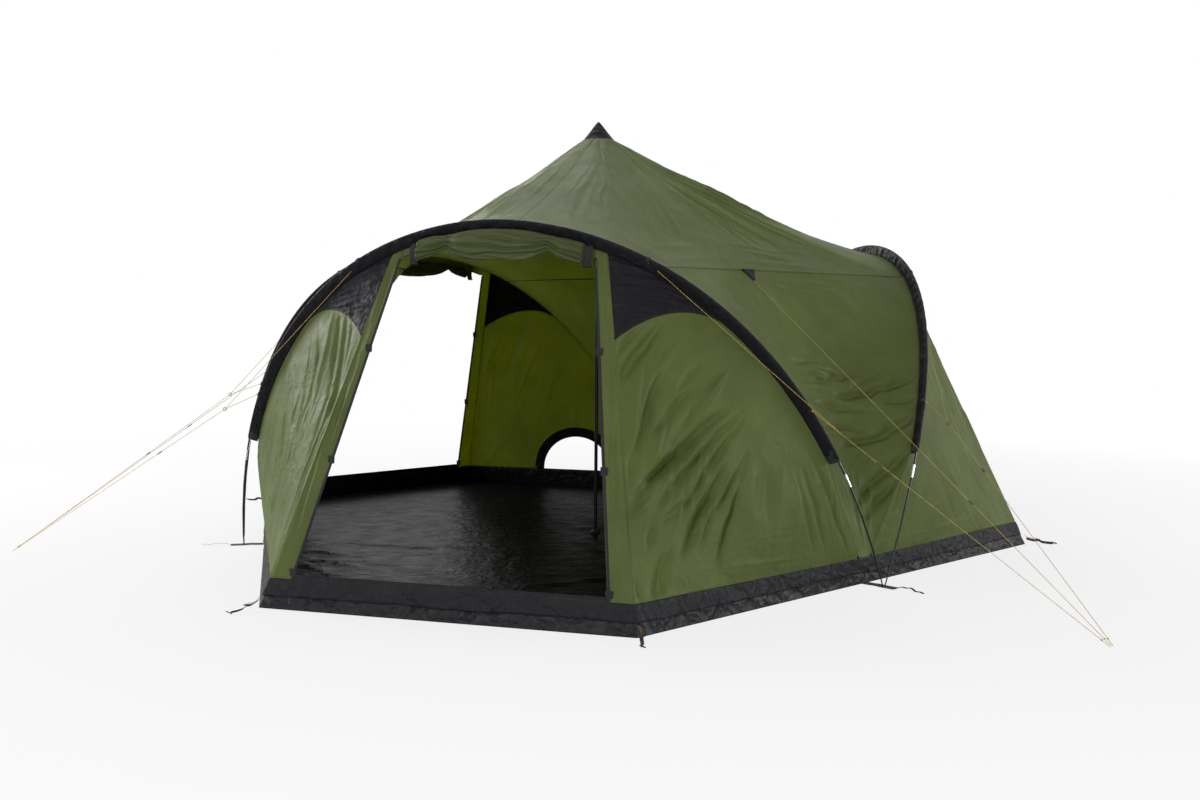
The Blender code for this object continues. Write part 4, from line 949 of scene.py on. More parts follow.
class TENT_OT_guy_lines(bpy.types.Operator):
    """Make the guy lines with their rings, knots and branch lines"""

    bl_idname = "tent.guy_lines"
    bl_label = "Guy lines"

    def execute(self, context):
        for key, (bay, side, ring, peg) in BRIDLES.items():
            self.bridle(key, bay, side, np.array(ring), np.array(peg))
        for key, (foot, peg) in VALLEY_LINES.items():
            self.valley(key, foot, np.array(peg))
        return {"FINISHED"}

    def line(self, key, points, far_end, pieces):
        """A cord through points. The small pieces that are handed to it are not used."""
        data = bpy.data.curves.new("line", "CURVE")
        data.dimensions = "3D"
        data.bevel_depth = LINE_RADIUS
        data.bevel_resolution = 3
        data.use_fill_caps = True
        spline = data.splines.new("POLY")
        spline.points.add(len(points) - 1)
        for place, point in zip(spline.points, points):
            place.co = (*point, 1.0)
        line = link(f"line_{key}", data)
        declare(line, "cord", [f"guy_{key}"])

    def small(self, name, data, surface="cord"):
        obj = link(name, data)
        declare(obj, surface)
        return obj

    def knots(self, key, top, top_along, peg, along):
        return [self.small(f"knot_{key}_top", knot(top, top_along)),
                self.small(f"knot_{key}_peg", knot(peg - along * 0.05 + [0, 0, 0.001], along))]

    def bridle(self, key, bay, side, ring, peg):
        start, low = (tab_start(bay, side, u, ring) for u in (UPPER_TAB, LOWER_TAB))
        along = unit(peg - ring)
        loop = self.small(f"ring_{key}", torus(ring, np.cross(along, [0, 0, 1.0]), 0.011, 0.0018), "plastic")
        knots = self.knots(key, start + unit(ring - start) * 0.012, ring - start, peg, along)
        points = np.concatenate([straight(start, ring, 6), straight(ring, peg, 8)[1:]])
        self.line(key, points, "knot", [loop] + knots)
        upper, lower = unit(start - ring), unit(low - ring)
        angle = math.acos(float(upper.dot(lower)))
        stop = ring + lower * (LINE_RADIUS * (1.0 + math.cos(angle)) + LINE_GAP) / math.sin(angle)
        tied = self.small(f"knot_{key}_low", knot(low - lower * 0.012, lower))
        self.line(f"branch_{key}", straight(low, stop, 4), "object", [tied])

    def valley(self, key, foot, peg):
        place, normal = valley_point(TRIANGLE_DROP)
        start = at_foot(place + normal * (0.00075 + LINE_RADIUS + LINE_GAP), foot)
        along = unit(peg - start)
        knots = self.knots(key, start + along * 0.02, along, peg, along)
        self.line(key, straight(start, peg, 12), "knot", knots)


# Folds of each panel. A bundle's row holds its seed, the ends of two lines, count, width and height

RIGHT_FOLDS = (
    (0.24, 0.7, 0.77, 1.05, 3.0, -24), (0.31, 0.95, 0.5, 1.28, 2.8, -17), (0.29, 0.75, 0.5, 0.87, 2.0, -13),
    (0.36, 0.65, 0.86, 1.02, 2.6, -18), (0.51, 0.62, 0.89, 0.99, 2.0, -15),
    (0.43, 0.39, 0.73, 0.73, 3.2, -26), (0.56, 0.42, 0.88, 0.78, 2.0, -13),
    (0.18, 0.42, 0.25, 0.5, 2.0, -10), (0.14, 0.15, 0.26, 0.34, 2.8, -16),
    (0.19, 0.15, 0.32, 0.37, 2.0, -12), (0.32, 1.3, 0.58, 1.56, 2.8, -16),
    (0.3, 1.24, 0.55, 1.51, 2.0, -10), (0.34, 1.41, 0.49, 1.56, 2.0, -14),
    (0.41, 1.0, 0.64, 1.19, 2.2, -13), (0.68, 1.1, 0.87, 1.27, 2.0, 12), (0.63, 0.27, 0.82, 0.61, 2.0, -11),
    (0.66, 0.29, 0.9, 0.77, 1.8, -8), (0.97, 0.54, 1.03, 0.78, 4.0, -9), (1.04, 0.5, 1.08, 0.74, 3.5, -8),
    (1.34, 0.68, 1.52, 0.28, 2.0, -7), (1.4, 0.77, 1.72, 0.26, 2.0, -7), (1.29, 0.63, 1.41, 0.3, 2.0, -6),
    (0.16, 0.75, 0.3, 0.95, 2.0, -9), (0.12, 0.55, 0.26, 0.64, 2.0, 9), (0.05, 0.17, 0.05, 0.29, 2.0, -10),
    (0.49, 0.94, 0.69, 1.12, 2.0, -10), (0.32, 0.54, 0.51, 0.62, 2.0, -10),
    (0.48, 0.79, 0.67, 0.91, 2.0, 9), (0.6, 1.22, 0.74, 1.34, 1.8, -8), (0.56, 0.5, 0.7, 0.62, 2.0, 9),
)
LEFT_FOLDS = (
    (0.4, 1.18, 0.62, 1.58, 2.2, -18), (0.26, 1.02, 0.55, 1.58, 2.2, -20),
    (0.22, 0.95, 0.48, 1.56, 1.8, -14), (0.2, 0.9, 0.36, 1.5, 1.8, -12), (0.48, 1.05, 0.69, 1.58, 2.6, 14),
    (0.36, 0.5, 0.76, 1.3, 2.4, -17), (0.41, 0.6, 0.72, 1.28, 1.8, 12), (0.46, 0.85, 0.68, 1.35, 2.2, -10),
    (0.52, 0.6, 0.84, 1.2, 2.6, 11), (0.2, 0.22, 0.53, 0.6, 2.6, -13), (0.03, 0.15, 0.13, 0.65, 1.8, 9),
    (0.07, 0.22, 0.14, 0.6, 1.8, -9), (0.52, 1.1, 0.76, 1.48, 1.8, -9), (0.28, 0.75, 0.37, 1.16, 1.8, -11),
    (0.2, 0.7, 0.32, 1.16, 1.8, -9), (0.15, 0.7, 0.27, 1.14, 1.8, 8), (1.06, 0.7, 1.12, 1.4, 4.0, -10),
    (0.6, 0.22, 0.95, 0.68, 4.0, 9), (0.66, 0.55, 0.98, 1.15, 2.6, -11), (0.8, 0.7, 1.02, 1.3, 2.4, 8),
    (0.86, 0.3, 1.2, 0.8, 3.5, -8),
)
VALLEY_FOLDS = (
    (0.05, 1.3, 0.26, 1.26, 2.0, 12), (0.1, 1.24, 0.26, 1.18, 2.0, 11), (0.12, 1.2, 0.4, 1.23, 2.0, -11),
    (0.22, 1.11, 0.43, 1.12, 2.4, -17), (0.4, 1.115, 0.69, 1.22, 2.2, -16),
    (0.05, 1.06, 0.32, 1.02, 2.0, -11), (0.13, 0.82, 0.36, 0.865, 2.6, -17),
    (0.32, 0.855, 0.57, 1.0, 2.4, -17), (0.48, 1.06, 0.62, 1.1, 2.0, -12),
    (0.09, 0.49, 0.42, 0.76, 2.4, -15), (0.1, 0.4, 0.32, 0.6, 2.2, -13), (0.11, 0.28, 0.27, 0.45, 2.0, -10),
    (0.36, 1.16, 0.58, 1.27, 1.8, -9), (0.06, 0.93, 0.3, 0.9, 2.0, -9), (-0.04, 1.34, 0.16, 1.31, 1.8, -8),
)
FLOOR_FOLDS = (
    (-1.95, -0.98, -0.45, -1.04, 3.0, 9), (-1.75, -1.3, -1.0, -1.48, 3.0, 8),
    (-1.6, -1.55, -0.8, -1.8, 2.6, 7), (-1.45, -1.75, -1.05, -2.05, 2.6, 7),
    (-1.7, -1.4, -1.1, -1.3, 2.6, 6), (-1.55, -1.65, -1.0, -1.55, 2.6, 6),
    (-2.05, -0.58, -0.6, -0.33, 2.6, 5), (-1.25, -1.06, -0.2, -0.8, 2.6, 5),
    (-1.5, -1.95, -1.2, -1.6, 2.4, 7), (-1.3, -2.1, -0.9, -1.9, 2.6, 6), (-2.2, -0.2, -0.9, -0.05, 2.6, 5),
    (0.2, -1.9, 0.9, -1.2, 3.0, 6),
)
SIDE_FOLDS = {
    1: (RIGHT_FOLDS, 1.9, (
        (2, (0.10, 0.45), (0.62, 0.35), (0.62, 1.30), (1.00, 0.85), 26, 0.013, 0.0095),
        (4, (0.16, 0.65), (0.36, 1.15), (0.40, 1.45), (0.75, 1.55), 14, 0.013, 0.0090),
        (8, (0.70, 0.25), (1.35, 0.25), (0.95, 1.00), (1.42, 0.95), 5, 0.05, 0.009))),
    -1: (LEFT_FOLDS, 0.75, (
        (2, (0.30, 0.45), (0.85, 0.50), (0.55, 1.50), (1.05, 1.42), 12, 0.012, 0.0045),
        (4, (0.02, 0.18), (0.10, 0.20), (0.25, 1.25), (0.42, 1.42), 7, 0.011, 0.0060),
        (6, (0.50, 0.20), (1.50, 0.20), (0.55, 0.80), (1.45, 0.85), 7, 0.045, 0.009))),
}
SIDE_FOOT_BUNDLES = (
    (20, (1.56, 0.82), (1.36, 1.00), (1.86, 0.18), (1.60, 0.18), 10, 0.011, 0.0050),
    (22, (0.20, 0.17), (0.30, 0.42), (1.70, 0.17), (1.55, 0.40), 5, 0.013, 0.0032),
)
GUSSET_BUNDLES = (
    (0, (0.36, 1.98), (0.36, 1.50), (0.95, 1.70), (0.75, 1.55), 13, 0.012, 0.0130),
    (2, (0.40, 1.95), (0.36, 1.50), (0.62, 1.86), (0.55, 1.56), 10, 0.009, 0.0095),
)
VALLEY_SAG = ((2, (-0.50, 1.40), (-0.10, 0.86), (0.70, 1.40), (0.46, 0.86), 10, 0.011, 0.0060),)
VALLEY_BUNDLES = (
    (4, (0.40, 0.76), (0.66, 1.28), (-0.02, 0.46), (0.18, 0.90), 6, 0.013, 0.0065),
    (8, (-0.04, 0.18), (0.04, 0.18), (-0.34, 0.82), (0.30, 0.78), 9, 0.013, 0.0075),
    (10, (-0.60, 1.84), (0.80, 1.84), (-0.50, 1.40), (0.75, 1.40), 7, 0.06, 0.0080),
    (12, (0.05, 1.88), (0.02, 1.80), (0.95, 1.86), (0.90, 1.62), 6, 0.014, 0.0045),
)
VALLEY_MIRRORED = ((6, (0.40, 0.76), (0.62, 1.20), (0.02, 0.50), (0.15, 0.85), 5, 0.014, 0.0070),)
ROOF_BUNDLES = (
    (0, (0.45, 0.02), (0.30, 0.34), (1.32, 0.38), (1.15, 1.62), 15, 0.018, 0.0130),
    (60, (0.35, 0.0), (0.22, 0.30), (1.10, 0.20), (0.95, 1.30), 5, 0.05, 0.012),
    (90, (1.34, 0.02), (1.10, 0.0), (1.50, 0.90), (1.30, 0.95), 9, 0.018, 0.0100),
)


# Sleeves, gussets and walls


def outer_edge(start, count):
    """A wall's outer edge, along the sleeve from a station and on down the seam to the foot."""
    top = junction(np.linspace(start, U_END, count))
    return np.vstack([top, mix(top[-1], SEAM_FOOT, np.linspace(0.0, 1.0, 150)[1:, None])])


def side_edges(count):
    """The side panel's outer edge, base line and gusset depth, from the crease to the foot."""
    edge = outer_edge(U_CREASE, 500)
    start = edge[0, 0]
    share = np.clip((edge[:, 0] - start) / (GUSSET_END_X - start), 0.0, 1.0)
    depth = GUSSET_DROP * (1.0 - share) ** GUSSET_CURVE
    depth[500:] = 0.0
    run = run_of(edge)
    want = np.linspace(0.0, SIDE_REACH, count)
    depth = np.interp(want * run[-1], run, depth)
    return resample(edge, want), mix(CREASE_FOOT, SEAM_FOOT, want[:, None]), depth


def panel_flat(grid):
    """Distance from the crease's foot along the base, and height, for every point."""
    along = unit((SEAM_FOOT - CREASE_FOOT) * LEVEL)
    return np.stack([(grid - CREASE_FOOT) @ along, grid[..., 2]], axis=-1)


def side_panel(cell, seed, side):
    """The wall between the gusset, the sleeve and the hem, with its folds."""
    outer, base, depth = side_edges(count_for(3.3, cell))
    lengths = np.linalg.norm(base - outer, axis=1)
    grid = ruled(mix(outer, base, (depth / lengths)[:, None]), base, count_for(1.4, cell))
    rows, across = np.linspace(0.0, 1.0, len(grid))[:, None], np.linspace(0.0, SIDE_REACH, len(outer))
    flat = panel_flat(grid)
    table, gain, own = SIDE_FOLDS[side]
    height = 0.014 * np.sin(np.pi * rows) * np.sin(np.pi * across ** 0.8) + strokes(flat, table, gain)
    height = height + bundles(flat, own + SIDE_FOOT_BUNDLES, seed)
    height = height + 0.004 * cloud(flat, 0.30, seed + 25) + crumple(flat, 0.11, 0.0022, seed + 26)
    pucker = np.exp(-((1.0 - rows) * lengths / 0.07) ** 2) * cloud(flat * [1.0, 0.3], 0.045, seed + 27)
    return folded(grid, height * free_share(grid, 0.05) + 0.0045 * pucker * free_share(grid, 0.02))


def gusset_panel(cell, seed):
    """The charcoal cloth between the sleeve and the side panel."""
    cell = cell * 0.55
    outer, base, depth = side_edges(count_for(3.3, cell))
    keep = depth > 0.004
    outer, base, depth = outer[keep], base[keep], depth[keep]
    grid = ruled(outer, outer + unit(base - outer) * depth[:, None], count_for(GUSSET_DROP, cell))
    flat = panel_flat(grid)
    height = bundles(flat, GUSSET_BUNDLES, seed, wobble=0.03) + crumple(flat, 0.055, 0.0050, seed + 4)
    return folded(grid, height * free_share(grid, 0.022))


def strip_panel(cell, seed):
    """The door strip between the doorway and the crease, flat where the zip pull slides."""
    u = np.linspace(U_DOOR, U_CREASE, count_for(STRIP_BOTTOM, cell))
    share = np.linspace(0.0, 1.0, len(u))
    grid = ruled(junction(u), mix(STRIP_FOOT, CREASE_FOOT, share[:, None]), count_for(1.95, cell))
    flat = grid[..., [0, 2]]
    height = streaks(flat, 96, 0.045, 0.4, 0.016, seed) + crumple(flat, 0.05, 0.0030, seed + 1)
    limit = 0.0010 + 0.05 * smooth((share - 0.20) / 0.50)
    return folded(grid, np.clip(height, -limit, limit) * free_share(grid, 0.02))


def lintel_panel(cell, seed):
    """The narrow cloth under the sleeve above the doorway."""
    top, low = doorway_lines(np.linspace(-U_DOOR, U_DOOR, count_for(1.2, cell * 0.7)))
    grid = ruled(top, top + unit(low - top) * LINTEL, 6)
    height = 0.005 * cloud(grid[..., [0, 2]] * [1.0, 0.5], 0.05, seed)
    return folded(grid, height * free_share(grid, 0.03, "n"))


def sleeve_rings(cell, seed):
    """Cross-sections of the sleeve: round the pole and tapering to the seam, with puckers."""
    u = np.linspace(-U_END, U_END, count_for(4.6, cell * 0.6))
    centre, inward = arch_point(u), arch_inward(u)
    bend = np.linspace(-0.62 * np.pi, 0.62 * np.pi, 11)
    x, y = -SLEEVE_TUBE * np.cos(bend), SLEEVE_TUBE * np.sin(bend)
    tail = np.linspace(0.0, 1.0, 7)[1:]
    tail_x, tail_y = mix(x[-1], SLEEVE_WIDTH, tail), mix(y[-1], SLEEVE_SEAM_HALF, smooth(tail))
    x, y = np.concatenate([x, tail_x, tail_x[::-1]]), np.concatenate([y, tail_y, -tail_y[::-1]])
    grid = centre[:, None] + inward[:, None] * x[:, None] + PLANE_NORMAL * y[:, None]
    place = np.stack(np.broadcast_arrays(run_of(centre)[:, None], x * 1.3 + np.sign(y) * 0.4), axis=-1)
    belly = np.clip(x / SLEEVE_WIDTH + 0.25, 0.0, 1.0) * np.clip(1.15 - x / SLEEVE_WIDTH, 0.0, 1.0) * 3.2
    puff = 0.0016 + 0.0070 * cloud(place * [1.0, 0.45], 0.034, seed)
    puff = puff + 0.0034 * cloud(place * [1.0, 0.6], 0.015, seed + 1)
    sway = 0.0028 * cloud(place[..., :1] * [1.0, 0.0], 0.16, seed + 2)
    shift = belly * (np.sign(y) * np.maximum(puff, -0.0012) + sway * 0.5)
    return grid + PLANE_NORMAL * shift[..., None]


def cuff_rings():
    """The webbing cuff at the sleeve's end."""
    u = np.linspace(U_END - 0.012, U_END + 0.004, 8)
    angle = np.linspace(0.0, 2.0 * np.pi, 20, endpoint=False)
    x = 0.024 - 0.036 * np.cos(angle)
    y = 0.0135 * np.sin(angle) * (1.0 - 0.45 * np.clip(x / SLEEVE_WIDTH, 0.0, 1.0))
    return arch_point(u)[:, None] + arch_inward(u)[:, None] * x[:, None] + PLANE_NORMAL * y[:, None]


class TENT_OT_sleeves(bpy.types.Operator):
    """Make the pole sleeves and the gussets below them"""

    bl_idname = "tent.sleeves"
    bl_label = "Sleeves"

    def execute(self, context):
        cell = sizes().weave
        flat = cut_size(panel_flat(gusset_panel(cell, 1)))
        for k, bay in enumerate(BAYS):
            node, sleeve = f"arch_sleeve_{bay}", f"sleeve_{bay}"
            cloth_piece(sleeve, mesh_of_grids(placed(sleeve_rings(cell, 40 + k), k), around=True), "charcoal",
                        [node], (0.19, 4.9), offset=-1.0)
            for side, tag in SIDES:
                grid = placed(gusset_panel(cell, 60 + 4 * k + side), k, side)
                cloth_piece(f"gusset_{bay}_{tag}", mesh_of_grids(grid), "charcoal", [node], flat)
                cuff = closed_tube(placed(cuff_rings(), k, side))
                plain_piece(f"cuff_{bay}_{tag}", cuff, "webbing")
        return {"FINISHED"}


def cut_vent(data):
    """Opens the half-round vent in a wall's mesh and rounds the edge that is left."""
    cut = VENT_RADIUS - 0.02

    def away(place):
        """How far a place is from the vent's middle, or very far if it isn't on the rear panel."""
        return math.hypot(place.x - VENT_CENTRE_X, place.z - HEM_TOP) if place.y > 2.0 else math.inf

    with edited(data) as build:
        doomed = [face for face in build.faces if away(face.calc_center_median()) < cut]
        bmesh.ops.delete(build, geom=doomed, context="FACES")
        for vertex in build.verts:
            reach = away(vertex.co)
            if vertex.is_boundary and 0.3 < reach < VENT_RADIUS + 0.03 and vertex.co.z - HEM_TOP > 0.002:
                vertex.co.x = VENT_CENTRE_X + (vertex.co.x - VENT_CENTRE_X) * cut / reach
                vertex.co.z = HEM_TOP + (vertex.co.z - HEM_TOP) * cut / reach


class TENT_OT_walls(bpy.types.Operator):
    """Make the bay walls: side panels, door strips and lintel"""

    bl_idname = "tent.walls"
    bl_label = "Bay walls"

    def execute(self, context):
        for k, bay in enumerate(BAYS):
            cell = sizes().weave * (0.62 if bay == "front" else 0.9)
            node = [f"bay_wall_{bay}"]
            for side, tag in SIDES:
                grid = side_panel(cell, 100 + 60 * k + 30 * side, side)
                data = mesh_of_grids(placed(grid, k, side))
                if bay == "left" and side < 0:
                    cut_vent(data)
                flat = cut_size(panel_flat(grid))
                cloth_piece(f"wall_{bay}_{tag}", data, "olive", node, flat)
            strips = [placed(strip_panel(cell, seed + k), k, side) for seed, side in ((200, 1), (210, -1))]
            data = mesh_of_grids(*strips, placed(lintel_panel(cell, 220 + k), k))
            cloth_piece(f"doorway_{bay}", data, "olive", node, (0.33, 2.05))
        return {"FINISHED"}


# Roof and valley walls


def to_foot(points):
    """Points in the foot's frame."""
    return turn(points, -FOOT_ANGLE)


def valley_grid(cols, rows):
    """A valley wall from the roof seam to the hem, in the foot's frame."""
    edge = resample(to_foot(outer_edge(U_SEAM, 400)), np.linspace(0.0, 1.0, rows))
    share = (edge[0, 2] - edge[:, 2]) / (edge[0, 2] - edge[-1, 2])
    middle = WAIST_RADIUS + (edge[-1, 0] - WAIST_RADIUS) * share + VALLEY_BULGE * 4.0 * share * (1.0 - share)
    drop = (edge[0, 2] - WAIST_HEIGHT) * (1.0 - share)
    s = np.linspace(-1.0, 1.0, cols)[None]
    x = middle[:, None] + (edge[:, 0] - middle)[:, None] * s * s
    z = edge[:, 2][:, None] - drop[:, None] * (1.0 - s * s)
    return np.stack([x, -edge[:, 1][:, None] * s, z], axis=-1)


def valley_folds(grid, seed):
    """Folds of the valley wall: hanging across it at half height, and gathered at the foot."""
    flat = grid[..., [1, 2]]
    height = strokes(flat, VALLEY_FOLDS, 2.1, 0.016) + bundles(flat, VALLEY_BUNDLES, seed)
    height = height + bundles(flat, VALLEY_SAG, seed, bend=(0.05, 0.12), wobble=0.03)
    height = height + bundles(flat * [-1.0, 1.0], VALLEY_MIRRORED, seed)
    height = height + 0.005 * cloud(flat, 0.35, seed + 14) + crumple(flat, 0.12, 0.0020, seed + 15)
    return folded(grid, height * free_share(grid, 0.05))


def roof_lower_edge(cell):
    """One roof sector's lower edge in the foot's frame, ridge to ridge."""
    sleeve = to_foot(junction(np.linspace(0.0, U_SEAM, count_for(0.86, cell))))
    seam = valley_grid(count_for(2.3, cell), 2)[0]
    return np.vstack([sleeve[:-1], seam, (sleeve[::-1] * [1.0, -1.0, 1.0])[1:-1]])


def roof_grid(cell):
    """The whole roof round the cap, as threads from the rim to the lower edge, and the share along them."""
    sector = roof_lower_edge(cell)
    low = np.vstack([at_foot(sector, k) for k in range(3)])
    own = np.concatenate([np.arctan2(sector[:, 1], sector[:, 0])] * 3)
    angle = np.arctan2(low[:, 1], low[:, 0])
    power = 1.0 + RIDGE_SAG * smooth(np.abs(own) / math.radians(60.0))
    rim, top = CAP_RADIUS - 0.012, APEX_HEIGHT - CAP_HEIGHT + 0.004
    share = (np.linspace(0.0, 1.0, count_for(2.1, cell)) ** 1.1)[:, None]
    radius = mix(rim, np.hypot(low[:, 0], low[:, 1]), share)
    height = low[:, 2] + (top - low[:, 2]) * (1.0 - share) ** power
    return np.stack([radius * np.cos(angle), radius * np.sin(angle), height], axis=-1), share


def roof_folds(grid, share, seed):
    """Folds of the roof: rays round the cap, and bundles down each half of each sector."""
    flat = grid[..., :2]
    run = np.hypot(grid[..., 0], grid[..., 1])
    angle = np.arctan2(grid[..., 1], grid[..., 0])
    rays = crest(angle * 9.0 / np.pi + 0.25 * cloud(flat, 0.4, seed))
    height = 0.004 * rays * smooth(run / 0.3) * np.exp(-(run / 0.75) ** 2)
    for k in range(3):
        local = turn(grid, -(FOOT_ANGLE + THIRD * k))[..., :2]
        near = np.abs(local[..., 1]) < 1.9 * local[..., 0] + 0.1
        for side, strength in ((1, 1.0), (-1, 0.6)):
            folds = bundles(local * [1.0, side], ROOF_BUNDLES, seed + 10 * k + side)
            height = height + folds * near * strength
    height = height + 0.006 * cloud(flat, 0.40, seed + 50) + crumple(flat, 0.14, 0.0022, seed + 51)
    return folded(grid, height * smooth(share / 0.05) * smooth((1.0 - share) / 0.05))


class TENT_OT_roof(bpy.types.Operator):
    """Make the roof and the valley walls between the arches"""

    bl_idname = "tent.roof"
    bl_label = "Roof"

    def execute(self, context):
        cell = sizes().weave
        grid = roof_folds(*roof_grid(cell * 1.32), 300)
        MADE["roof"] = grid
        cloth_piece("roof", mesh_of_grids(grid, around=True), "olive", [f"roof_{foot}" for foot in FEET],
                    (length_of(grid[-1]), length_of(grid[:, 0])))
        for k, foot in enumerate(FEET):
            fine = cell * (0.72 if foot == "right" else 0.95)
            grid = valley_grid(count_for(2.4, fine), count_for(2.6, fine))
            grid = at_foot(valley_folds(grid, 400 + 10 * k), k)
            cloth_piece(f"valley_{foot}", mesh_of_grids(grid), "olive", [f"valley_wall_{foot}"],
                        (length_of(grid[0]), length_of(grid[:, grid.shape[1] // 2])))
        return {"FINISHED"}


# Seams, tapes and stitches


class TENT_OT_seams(bpy.types.Operator):
    """Make the seams, the zip tapes with their teeth, and the stitches"""

    bl_idname = "tent.seams"
    bl_label = "Seams and stitches"

    def execute(self, context):
        pieces = (("seams", "olive_seam", "olive"), ("welts", "olive", "olive"),
                  ("gusset_tapes", "charcoal", "charcoal"), ("zip_tapes", "webbing", "webbing"))
        self.parts = {name: [] for name, _, _ in pieces}
        self.stitches, self.teeth = [], []
        for k in range(3):
            self.waist(k)
            for side, _ in SIDES:
                self.side(k, side)
                self.doorway(k, side)
            self.lintel(k)
        self.ridges()
        for share in (0.955, 0.80):
            row = hem_level(share)
            self.stitches.append(row + unit(row * LEVEL) * (hem_wave(row, share) + HEM_CLEAR)[:, None])
        for name, surface, slot in pieces:
            plain_piece(name, self.parts[name], surface)
        pitch = sizes().stitch
        repeated("stitches", self.stitches, pitch, pitch * 0.62, 0.0011, "thread")
        repeated("zip_teeth", self.teeth, 0.0042, 0.0026, 0.0042, "plastic", 5)
        return {"FINISHED"}

    def waist(self, k):
        """The seam between the roof and a valley wall, covered by a tape on each face."""
        grid = valley_grid(121, 161)
        top, normal, down = grid[0], grid_normals(grid)[0], unit(grid[1] - grid[0])
        tapes = (("seams", 0.0045, 0.0016, 0.011), ("zip_tapes", 0.004, -0.0018, 0.009))
        for name, drop, out, width in tapes:
            path = at_foot(top + down * drop + normal * out, k)
            self.parts[name].append(strap(path, width, 0.0012, at_foot(down, k)))
        for shift in (0.0018, 0.0075):
            self.stitches.append(at_foot(top + down * shift + normal * 0.0024, k)[2:-2])

    def side(self, k, side):
        """The crease beside the doorway, the seam down to the foot and the gusset's lower edge."""
        for start, end, last, count in ((junction(U_CREASE), CREASE_FOOT, 0.99, 90),
                                        (junction(U_END), SEAM_FOOT, 0.985, 50)):
            line = mix(start, end, np.linspace(0.01, last, count)[:, None])
            self.parts["welts"].append(rod(placed(line, k, side), WELT_RADIUS, 6))
        outer, base, depth = side_edges(400)
        keep = depth > 0.006
        down = unit(base - outer)[keep]
        edge = outer[keep] + down * depth[keep][:, None]
        along = unit(np.gradient(edge, axis=0))
        normal = unit(np.cross(down, along))
        normal *= np.sign(np.sum(normal * edge * LEVEL, axis=-1, keepdims=True))
        across = unit(np.cross(normal, along))
        self.parts["gusset_tapes"].append(strap(placed(edge + normal * 0.0016, k, side), 0.012, 0.0012,
                                                placed(across, k, side)))
        for shift in (-0.0042, 0.0042):
            self.stitches.append(placed(edge + normal * 0.0024 + across * shift, k, side))

    def doorway(self, k, side):
        """The zip tape and teeth on the doorway's edge, from the lintel to the hem."""
        edge = mix(junction(U_DOOR), STRIP_FOOT, np.linspace(0.03, 0.995, 120)[:, None])
        path, teeth, stitches = (placed(edge + FACE_OUT * out + [x, 0.0, 0.0], k, side)
                                 for out, x in ((0.0016, 0.0), (0.0030, -0.003), (0.0025, 0.0060)))
        self.parts["zip_tapes"].append(strap(path, 0.017, 0.0014, placed([1.0, 0.0, 0.0], k, side)))
        self.teeth.append(teeth)
        self.stitches.append(stitches)

    def lintel(self, k):
        reach = junction(U_DOOR)[0] - 0.012
        path = lintel_edge(np.linspace(-reach, reach, 90), LINTEL - 0.004) + FACE_OUT * 0.0014
        self.parts["zip_tapes"].append(strap(placed(path, k), 0.012, 0.0014, placed(FACE_DOWN, k)))

    def ridges(self):
        """The seams that run from the cap to the middle of each arch."""
        grid = MADE["roof"]
        step = grid.shape[1] // 3
        lines = (grid + grid_normals(grid) * 0.0006)[1:-1, ::step]
        for k in range(3):
            self.parts["welts"].append(rod(lines[:, k], 0.0018, 6))


# Doors, vent and cap


def roll_rings(seed):
    """The rolled door: a swag whose pleats run from toggle to toggle, with its ends fanned out."""
    (first, last), (left, right) = ROLL_ENDS, ROLL_TIES
    x = np.linspace(first, last, ROLL_STEPS)
    angle = np.linspace(0.0, 2.0 * np.pi, ROLL_SIDES, endpoint=False)
    drawn = sum(np.exp(-((x - tie) / 0.050) ** 2) for tie in ROLL_TIES)
    middle = np.where((x > left) & (x < right), np.sin(np.pi * np.clip((x - left) / (right - left), 0, 1)), 0)
    close = np.sqrt(np.clip(np.minimum(x - first, last - x) / 0.018, 0.06, 1.0))
    tall = close * (0.056 * (1.0 - 0.30 * drawn) + 0.030 * middle ** 0.8)
    deep = close * (0.030 * (1.0 - 0.35 * drawn) + 0.004 * middle)
    place = np.broadcast_arrays(x[:, None] * 0.30, np.cos(angle) * 0.10, np.sin(angle) * 0.10)
    place = np.stack(place, axis=-1)
    wave = angle * 9.0 / (2.0 * np.pi) + 0.75 * cloud(place, 0.06, seed) + 1.4 * x[:, None]
    pleat = 0.42 * crest(wave) * (0.75 + 0.3 * drawn[:, None]) + 0.16 * cloud(place, 0.045, seed + 1)
    grid = (FACE_OUT * (deep[:, None] * np.cos(angle) * (1 + pleat))[..., None]
            - FACE_DOWN * (tall[:, None] * np.sin(angle) * (1 + 0.5 * pleat))[..., None])
    seat, back = (grid @ FACE_DOWN).min(axis=1), (grid @ FACE_OUT).min(axis=1)
    centre = lintel_edge(x, 0.004) - FACE_DOWN * seat[:, None] - FACE_OUT * (back - 0.003)[:, None]
    return grid + centre[:, None]


def door_panel(cell, seed):
    """The closed door, between the doorway's edges."""
    top, low = doorway_lines(np.linspace(-U_DOOR, U_DOOR, count_for(1.6, cell)))
    top = top + unit(low - top) * (LINTEL - 0.004)
    low = mix(low, top, ((SILL_TOP - 0.004 - HEM_TOP) / (top[:, 2] - HEM_TOP))[:, None])
    grid = ruled(top, low, count_for(1.8, cell))
    flat = grid[..., [0, 2]]
    height = 0.010 * np.sin(np.pi * np.linspace(0.0, 1.0, len(grid)))[:, None]
    height = height + streaks(flat, 84, 0.14, 0.8, 0.008, seed)
    height = height + fan(flat, (0.0, 2.15), -150, -30, 13, 0.006, 0.2, 0.7, seed + 1)
    height = height + 0.003 * cloud(flat, 0.2, seed + 2)
    return folded(grid, height * free_share(grid, 0.05))


